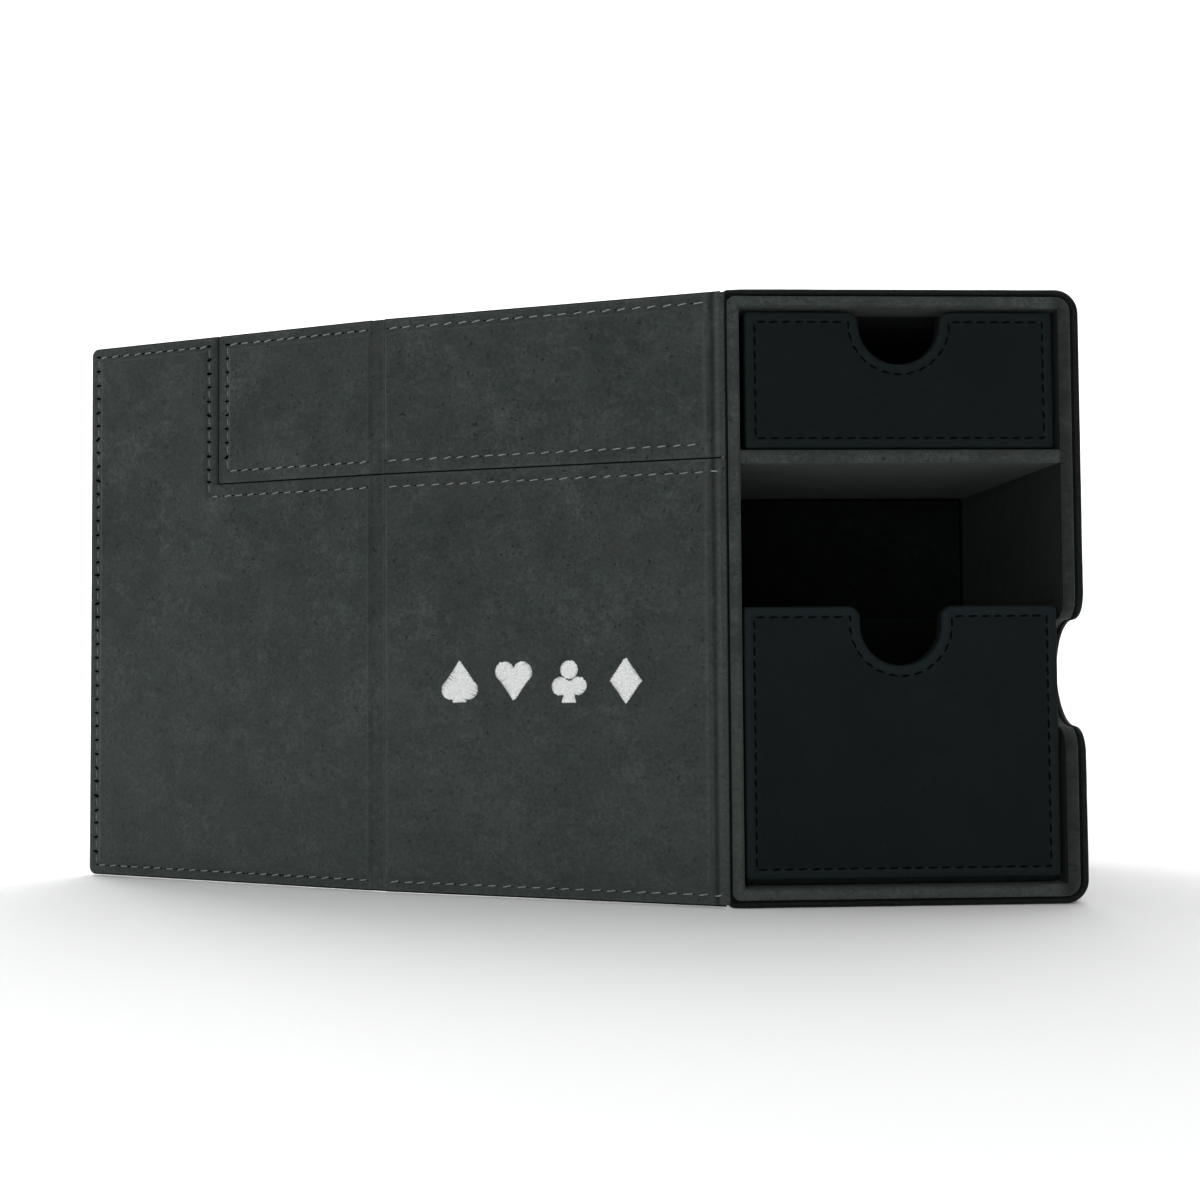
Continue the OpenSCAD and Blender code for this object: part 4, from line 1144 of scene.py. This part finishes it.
def flap_panel(prefix, body, place, s0, s1, z0, z1, rows, corners, cuts=(), notch=None, steps=(0, 0), seed=1.0, dy=0.0):
    """A flap panel: suede lining and leather cover as two closed sheets round the board.
    steps are the widths of the slopes beside the soft edges at s0 and s1, or None at a
    free edge. cuts names the edges along the cut between the flaps. notch is (s, z):
    the panel is full height only beyond s."""
    jl, jr = steps[0] is not None, steps[1] is not None
    off_l, off_r = (JOINT_OFF if jl else HEM_OFF), (JOINT_OFF if jr else HEM_OFF)
    path = [np.array(r, float) for r in rows]
    ra = np.concatenate([r[:-1] for r in path])
    rb = np.concatenate([r[1:] for r in path])

    def limits(inset):
        i = lambda edge: min(inset, 0.18) if edge in cuts else inset
        return s0 + (0 if jl else i("s0")), s1 - (0 if jr else i("s1")), z0 + i("z0"), z1 - i("z1"), min(inset, 0.18)

    def clean(v):
        out = [v[0]]
        for x in v[1:]:
            if x - out[-1] > 0.012:
                out.append(x)
        return out

    def grids(inset):
        a, b, c, d, k = limits(inset)
        us, vs = lines(a, b, off_l, off_r, 2.6), lines(c, d, HEM_OFF, HEM_OFF, 2.6)
        if notch:
            us = sorted(set(us) | {round(notch[0] + k + x, 5) for x in HEM_OFF})
            vs = sorted(set(vs) | {round(notch[1] - k - x, 5) for x in HEM_OFF})
        return clean(us), clean(vs)

    def keep(inset):
        k = limits(inset)[4]
        return (lambda u, v: ~((u < notch[0] + k) & (v > notch[1] - k))) if notch else None

    def jt(u, v):
        return (jl and abs(u - s0) < 1e-4) or (jr and abs(u - s1) < 1e-4)

    def shrink(i):
        out = []
        for cu, cv, su, sv, r in corners:
            k = min(i, 0.18) if r < 1 else i
            j = min(i, 0.18) if (sv > 0 and "z1" in cuts) or (sv < 0 and "z0" in cuts) else i
            out.append((cu - su * k, cv - sv * j, su, sv, max(0.3, r - i)))
        return out

    def low(x, d, j):
        out = 1 - smooth((d - 3.25) / 1.0)
        for near, edge, width in ((jl, s0, steps[0]), (jr, s1, steps[1])):
            if near:
                out = np.maximum(out, 1 - smooth((np.abs(x - edge) - 0.05) / width))
        return out

    def top(x, z, d, j):
        p = np.stack([x, np.zeros(len(x)), z], 1)
        g = segment_distance(np.stack([x, z], 1), ra, rb)
        y = IN_Y - HEM_DROP * low(x, d + 0.3, j) - 0.15 * np.exp(-(g / 0.34) ** 2) - drop(d, 0.3)
        return y - 0.05 + 0.05 * wave(p, 13, seed) + 0.02 * wave(p, 4.5, seed + 3)

    def under(x, z, d, j):
        return np.where((d + 0.42 < 3.53) | (j < 0.5), -1.26, IN_Y - 0.605)

    def outer(x, z, d, j):
        p = np.stack([x, 0 * x, z], 1)
        g = segment_distance(np.stack([x, z], 1), ra, rb)
        return OUT_Y + HEM_DROP * low(x, d, j) + drop(d, 0.95) + 0.14 * np.exp(-(g / 0.36) ** 2) + 0.05 + 0.05 * wave(p, 15, seed + 9)

    def inner(x, z, d, j):
        return np.where(d < 0.45, -0.98 - drop(d, 0.4), np.where((d < 3.54) | (j < 0.52), -1.28, OUT_Y + 0.98))

    frame_fn = lambda p: place(p + np.array([0, dy, 0]))
    us, vs = grids(0.42)
    v, f, tags, wear_and_painted_light = grid_shell(us, vs, top, under, keep(0.42), shrink(0.42), jt)
    # Painted highlight: a pale line painted along the top of the slope beside each joint.
    painted_highlight = np.zeros(len(v))
    for near, edge, width, way in ((jl, s0, steps[0], 1), (jr, s1, steps[1], -1)):
        if near:
            painted_highlight = np.maximum(painted_highlight, (0.9 if way > 0 and edge == F0 else 0.55) * np.exp(-(((v[:, 0] - edge) * way - width - 0.15) / (0.55 if edge == F0 else 0.3)) ** 2))
    painted_shade = np.zeros(len(v))                       # painted shade beside the upright cut
    if notch:
        painted_shade = 0.85 * smooth(1 - (v[:, 0] - notch[0] - 0.18) / 2.5) * smooth((v[:, 2] - notch[1] + 1.2) / 1.6)
    elif "s1" in cuts:
        painted_shade = 0.6 * smooth(1 - (s1 - 0.18 - v[:, 0]) / 1.5)
    lining = Piece().add(frame_fn(v), f, 0, (np.maximum(wear_and_painted_light * 0.5, painted_highlight) + painted_foot_light(v[:, 2])).clip(0, 1) * (1 - painted_shade), painted_shade).build(f"{prefix}_suede", [SUEDE])
    finish_piece(lining, body, [f"{prefix}_lining"])
    us, vs = grids(0.0)
    v, f, tags, wear_and_painted_light = grid_shell(us, vs, outer, inner, keep(0.0), corners, jt)
    cover = Piece().add(frame_fn(v), f, 0, wear_and_painted_light).build(f"{prefix}_leather", [LEATHER])
    finish_piece(cover, body, [f"{prefix}_cover"])
    width, height = s1 - s0, z1 - z0


def stitch_rows(prefix, body, place, rows, dy, seed, node, extra=()):
    """Grey thread on the suede face and black thread on the leather face. extra are
    single stitches on the soft strips, as (s, z, angle, y)."""
    rng = np.random.default_rng(seed)
    st, holes, ost, oholes = [], [], [], []
    for row in rows:
        upright = abs(row[0][0] - row[-1][0]) < 1e-6
        for s, z, a, step in along(row, 3.65, rng):
            slant = -0.15 + rng.normal(0, 0.06)
            hw = 0.055 if upright else 0.145
            st.append((s, z, a + slant * (0.5 if upright else 1), (2.5 if upright else 2.35) + rng.normal(0, 0.08), hw, 0.16, (-0.88 if upright else -0.80) + dy, 1))
            for e in (-1, 1) if dy else (1,):
                big = rng.random() < 0.3
                if upright:
                    if e > 0:
                        holes.append((s + rng.normal(0, 0.08), z + e * step / 2, -0.61 + dy, 0.82 if not big else 1.0, 1, rng.normal(0, 0.2), 0.37))
                else:
                    holes.append((s + e * 1.42 * math.cos(a), z + e * 1.42 * math.sin(a), -0.79 + dy, (0.27 if not big else 0.38) * (1 if dy else 0.75), 1, a))
            ost.append((s, z, a - slant, 2.35, 0.20, 0.16, -2.80 + dy, -1))
            for e in (-1, 1):
                oholes.append((s + e * 1.45 * math.cos(a), z + e * 1.45 * math.sin(a), -2.81 + dy, 0.36, -1, a))
    for s, z, a, y in extra:
        st.append((s, z, a, 2.2, 0.16, 0.15, y + dy, 1))
    piece = Piece()
    for k, (group, dot) in enumerate(((st, holes), (ost, oholes))):
        v, f = capsules(group, place)
        piece.add(v, f, k)
        v, f = dots(dot, place)
        piece.add(v, f, 2)
    o = piece.build(f"{prefix}_thread", [GREY_THREAD, BLACK_THREAD, NEEDLE_HOLE_SHADE])
    finish_piece(o, body, [node])


MZ1, SZ0 = MAIN_Z1 + CUT_IN, STRIP_Z0 - CUT_IN        # the soft edges either side of the cut
LS, SE = L_S0 - 0.27, STRIP_END + 0.27
rows_mf = [[(F1 - 0.4, FLAP_Z0 + E), (F0 + 0.4, FLAP_Z0 + E)], [(F0 + 0.4, MAIN_Z1 - C), (F1 - 0.4, MAIN_Z1 - C)]]
rows_df = [[(F1 - 0.4, STRIP_Z0 + C), (F0 + 2.0, STRIP_Z0 + C)], [(F0 + 0.3, FLAP_Z1 - E), (F1 - 0.4, FLAP_Z1 - E)]]
rows_ms = [[(SIDE_END - E, FLAP_Z0 + E), (S0 + 0.6, FLAP_Z0 + E)], [(SIDE_END - E, FLAP_Z1 - E), (SIDE_END - E, FLAP_Z0 + E)],
           [(L_S0 + E, FLAP_Z1 - E), (SIDE_END - E, FLAP_Z1 - E)], [(L_S0 + E, MAIN_Z1 - C), (L_S0 + E, FLAP_Z1 - E)],
           [(S0 + 0.6, MAIN_Z1 - C), (L_S0 + E, MAIN_Z1 - C)]]
rows_ds = [[(STRIP_END - E, STRIP_Z0 + C), (S0 + 0.6, STRIP_Z0 + C)], [(STRIP_END - E, FLAP_Z1 - E), (STRIP_END - E, STRIP_Z0 + C)],
           [(S0 + 0.6, FLAP_Z1 - E), (STRIP_END - E, FLAP_Z1 - E)]]
flap_panel("main_flap_front", "main_flap_front", front_frame, F0, F1, FLAP_Z0, MZ1, rows_mf, [], ("z1",), None, (0.35, 0.55), 1.0)
flap_panel("drawer_flap_front", "drawer_flap_front", front_frame, F0, F1, SZ0, FLAP_Z1, rows_df, [], ("z0",), None, (0.35, 0.55), 2.0)
flap_panel("main_flap_side", "main_flap_side", side_frame, S0, SIDE_END, FLAP_Z0, FLAP_Z1, rows_ms,
           [(SIDE_END, FLAP_Z0, 1, -1, 2), (SIDE_END, FLAP_Z1, 1, 1, 2), (LS, FLAP_Z1, -1, 1, 0.5)], (), (LS, MZ1), (0.6, None), 3.0, DY)
flap_panel("drawer_flap_side", "drawer_flap_side", side_frame, S0, SE, SZ0, FLAP_Z1, rows_ds,
           [(SE, SZ0, 1, -1, 0.45), (SE, FLAP_Z1, 1, 1, 0.5)], ("z0", "s1"), None, (0.6, None), 4.0, DY)
stitch_rows("main_flap_front", "main_flap_front", front_frame, rows_mf, 0.0, 21, "main_flap_front_stitching",
            [(2.3, MAIN_Z1 - C + 0.1, math.pi + 0.1, -0.60), (2.2, FLAP_Z0 + E, math.pi - 0.2, -0.60)])
stitch_rows("drawer_flap_front", "drawer_flap_front", front_frame, rows_df, 0.0, 22, "drawer_flap_front_stitching")
stitch_rows("main_flap_side", "main_flap_side", side_frame, rows_ms, DY, 23, "main_flap_side_stitching")
stitch_rows("drawer_flap_side", "drawer_flap_side", side_frame, rows_ds, DY, 24, "drawer_flap_side_stitching")


def strip_shells(columns_suede, columns_leather, z0, z1, tight, place, name, seed, ridge=-0.5, valley=-0.85):
    """A soft strip between two panels: a suede sheet over a leather one. The columns
    are (s, y) outlines of the two sections, closed. tight says which end lies along
    the cut."""
    piece = Piece()
    for k, (sec, inset, r) in enumerate(((columns_suede, 0.42, 0.3), (columns_leather, 0.0, 0.8))):
        sec = np.array(sec, float)
        # Painted highlight on the suede's ridges, and painted shade in its valleys.
        painted_highlight = smooth((sec[:, 1] - ridge) / 0.18) * (k == 0)
        fold = smooth((valley - sec[:, 1]) / 0.22) * (k == 0) * (sec[:, 1] > -1.2)
        mid = sec.mean(0)
        near = min(inset, 0.18)
        off = (0, .1 * r, .35 * r, .7 * r, r, 2 * r)
        zs = lines(z0 + (near if tight == "z0" else inset), z1 - (near if tight == "z1" else inset), off, off, 2.0)
        rings = []
        for z in zs:
            pull = float(drop(min(z - zs[0], zs[-1] - z), r)) * 0.6
            away = sec - mid
            q = sec.copy()
            q[:, 1] -= np.sign(away[:, 1]) * np.minimum(pull, np.abs(away[:, 1]) * 0.6)
            p3 = np.stack([q[:, 0], q[:, 1], np.full(len(q), z)], 1)
            p3[:, 1] += 0.05 * wave(p3, 7, seed) * (1 if k == 0 else -1)
            rings.append(place(p3))
        v, f = loft(np.array(rings), closed_u=False, caps=True)
        # painted light: the strip's suede is painted paler towards the foot
        paler = np.repeat(painted_foot_light(zs), len(sec)) * (k == 0)
        piece.add(v, f, k, (np.tile(painted_highlight, len(zs)) + paler).clip(0, 1), np.tile(fold, len(zs)))
    return piece.build(name, [SUEDE, LEATHER])


def hinge(prefix, z0, z1, tight, seed):
    """The soft hinge beside the case: it turns about the case's front left edge."""
    suede_sec = [(F0 + 0.05, -0.66), (3.75, -0.68), (3.6, -0.74), (3.4, -0.83), (3.1, -0.90), (2.8, -0.93), (2.5, -0.91), (2.25, -0.84), (2.05, -0.71), (1.85, -0.55), (1.65, -0.45),
                 (1.45, -0.41), (1.25, -0.43), (1.05, -0.50), (0.85, -0.56), (0.65, -0.61), (0.4, -0.66), (0.15, -0.74), (-0.08, -0.84), (-0.18, -0.95), (-0.08, -0.99), (0.2, -0.93), (0.5, -0.875), (1.2, -0.94), (2.2, -1.11), (F0 + 0.05, -1.26)]
    leather_sec = [(F0 + 0.05, -1.28), (2.2, -1.13), (1.2, -0.96), (0.85, -0.925), (0.7, -0.92), (0.8, -0.97), (1.0, -1.05), (1.3, -1.27),
                   (2.0, -1.88), (2.6, -2.34), (3.2, -2.72), (F0 + 0.05, -2.95)]
    o = strip_shells(suede_sec, leather_sec, z0, z1, tight, front_frame, f"{prefix}_hinge_fold", seed, -0.58, -0.76)
    finish_piece(o, f"{prefix}_front", [f"{prefix}_hinge_strip"])


hinge("main_flap", FLAP_Z0, MZ1, "z1", 3.3)
hinge("drawer_flap", SZ0, FLAP_Z1, "z0", 6.1)


def crease(prefix, z0, z1, tight, seed):
    """The soft crease between front and side panels, shaped as a bend from the one to the other."""
    q0, q1 = F1 - CREASE_S, S0

    def place(p):
        w = smooth((p[:, 0] - q0) / (q1 - q0))[:, None]
        a = front_frame(p + np.array([CREASE_S, 0, 0]))
        return a * (1 - w) + side_frame(p + np.array([0, DY, 0])) * w

    qs = np.array([q0 - 0.03, q0 + 0.15, q0 + 0.35, q0 + 0.6, 0, 0.3, 0.6, 0.9, 1.2, 1.5, 1.8, 2.1, 2.35, 2.5, 2.6, 2.68, 2.76, 2.85, q1 + 0.03])
    low = -0.66 - 0.30 * smooth((qs - q0) / 0.9) * smooth((q1 - qs) / 0.7) - 0.22 * np.exp(-((qs - 2.66) / 0.13) ** 2)
    suede_sec = list(zip(qs, low)) + [(q, -1.26 - 0.1 * smooth((q - q0) / 0.6) * smooth((q1 - q) / 0.6)) for q in qs[::-1]]
    out = -2.95 + 0.35 * smooth((qs - q0) / 1.1) * smooth((q1 - qs) / 1.1)
    under = [-1.28 - 0.1 * smooth((q - q0) / 0.6) * smooth((q1 - q) / 0.6) for q in qs]
    leather_sec = list(zip(qs, under)) + list(zip(qs[::-1], out[::-1]))
    o = strip_shells(suede_sec, leather_sec, z0, z1, tight, place, f"{prefix}_crease_fold", seed, -0.3, -0.92)
    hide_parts(f"{prefix}_crease_strip")
    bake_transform(o)


crease("main_flap", FLAP_Z0, MZ1, "z1", 2.7)
crease("drawer_flap", SZ0, FLAP_Z1, "z0", 5.2)


# ---------------------------------------------------------------- embroidery: the four card suits
def pip_inside(n, x, z, w=9.5):
    def disc(cx, cz, d):
        return (x - cx) ** 2 + (z - cz) ** 2 < (d / 2) ** 2

    def poly(pts):
        return inside(np.stack([x, z], 1), np.array(pts, float))

    def heart(xx, zz, up):
        k = -1 if up else 1
        a = (xx - w * 0.24) ** 2 + (zz - k * w * 0.22) ** 2 < (w * 0.26) ** 2
        b = (xx + w * 0.24) ** 2 + (zz - k * w * 0.22) ** 2 < (w * 0.26) ** 2
        pts = [(-w * 0.46, k * w * 0.1), (0, -k * w * 0.52), (w * 0.46, k * w * 0.1), (0, k * w * 0.3)]
        return a | b | inside(np.stack([xx, zz], 1), np.array(pts))

    stem = poly([(-w * 0.2, -w * 0.55), (w * 0.2, -w * 0.55), (w * 0.05, 0), (-w * 0.05, 0)])
    if n == 0:
        return heart(x, z, True) | stem
    if n == 1:
        return heart(x, z, False)
    if n == 2:
        out = stem
        for a in (-30, 90, 210):
            out = out | disc(w * 0.27 * math.cos(math.radians(a)), w * 0.27 * math.sin(math.radians(a)), w * 0.46)
        return out
    return poly([(0, -w * 0.58), (w * 0.42, 0), (0, w * 0.58), (-w * 0.42, 0)])


def embroidery():
    rng = np.random.default_rng(5)
    st = []
    for n in range(4):
        cs, cz = (F0 + F1) / 2 + (1.5 - n) * 14, 52.0
        ang = math.radians(28 if n % 2 == 0 else -28)
        ca, sa = math.cos(ang), math.sin(ang)
        t = np.arange(-8, 8, 0.05)
        for k, off in enumerate(np.arange(-7.5, 7.5, 0.33)):
            x, z = t * ca - off * sa, t * sa + off * ca
            m = pip_inside(n, x, z)
            runs = np.flatnonzero(np.diff(np.concatenate([[0], m.astype(int), [0]])))
            for a, b in zip(runs[::2], runs[1::2]):
                t0, t1 = t[a], t[min(b, len(t) - 1)]
                if t1 - t0 < 0.35:
                    continue
                t0, t1 = t0 - 0.05 - 0.06 * rng.random(), t1 + 0.05 + 0.06 * rng.random()
                mid, length = (t0 + t1) / 2, t1 - t0
                st.append((cs + mid * ca - off * sa, cz + mid * sa + off * ca, ang + rng.normal(0, 0.012), length, 0.19, 0.15, IN_Y + 0.05, 1))
    v, f = capsules(st, front_frame, rings=11, segs=8)
    o = Piece().add(v, f).build("suit_threads", [WHITE_THREAD])
    finish_piece(o, "main_flap_front", ["suit_embroidery"])


embroidery()

# ---------------------------------------------------------------- pieces of the frame that stay
for name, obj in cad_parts.items():
    if obj.hide_render:
        continue
    mat = MAGNET if "magnet" in name else GREYBOARD
    obj.data.materials.clear()
    obj.data.materials.append(mat)
    for p in obj.data.polygons:
        p.material_index = 0

# ---------------------------------------------------------------- floor, backdrop and lights
def stage():
    prof = [(-3.0, 0.0), (0.9, 0.0)]
    for k in range(1, 17):
        a = math.radians(90 * k / 16)
        prof.append((0.9 + 1.1 * math.sin(a), 1.1 * (1 - math.cos(a))))
    prof.append((2.0, 3.5))
    rings = np.array([[(x, y, z - 0.00005) for y, z in prof] for x in (-4.0, -1.3, 0, 1.3, 4.0)])
    v, f = loft(rings, closed_u=False, closed_v=False)
    me = bpy.data.meshes.new("floor")
    me.from_pydata(v.tolist(), [], f)
    me.polygons.foreach_set("use_smooth", [True] * len(f))
    o = bpy.data.objects.new("floor", me)
    me.materials.append(floor_material())
    scene.collection.objects.link(o)


def area(name, place, target, size, watts, colour=(1, 1, 1)):
    d = bpy.data.lights.new(name, "AREA")
    d.shape = "RECTANGLE"
    d.size, d.size_y = size
    d.energy = watts
    d.color = colour
    o = bpy.data.objects.new(name, d)
    o.location = place
    o.rotation_mode = "QUATERNION"
    o.rotation_quaternion = (Vector(target) - Vector(place)).to_track_quat("-Z", "Y")
    scene.collection.objects.link(o)


stage()
area("key", (0.05, -1.05, 0.85), (-0.04, 0, 0.06), (0.9, 0.7), 5.45, (1.0, 0.99, 0.98))
area("fill", (-0.45, -1.10, 0.07), (-0.08, 0, 0.02), (1.0, 0.22), 4.25, (0.96, 0.99, 1.0))
area("back_light", (-1.15, 1.25, 0.75), (-0.04, 0.04, 0.07), (0.7, 0.6), 9.0, (1.0, 0.99, 0.98))
area("floor_light", (0.0, 0.75, 1.5), (0.0, 0.75, 0), (3.0, 1.6), 30.0)
area("backdrop_light", (0.0, 0.9, 1.3), (0.0, 2.0, 0.7), (2.6, 0.8), 14.0)
world = bpy.data.worlds.new("world")
scene.world = world
world.use_nodes = True
bg = world.node_tree.nodes["Background"]
bg.inputs[0].default_value = (0.95, 0.97, 1.0, 1)
bg.inputs[1].default_value = 0.22
scene.view_settings.view_transform = "Standard"
scene.view_settings.look = "None"
scene.view_settings.exposure = 0
scene.view_settings.gamma = 1
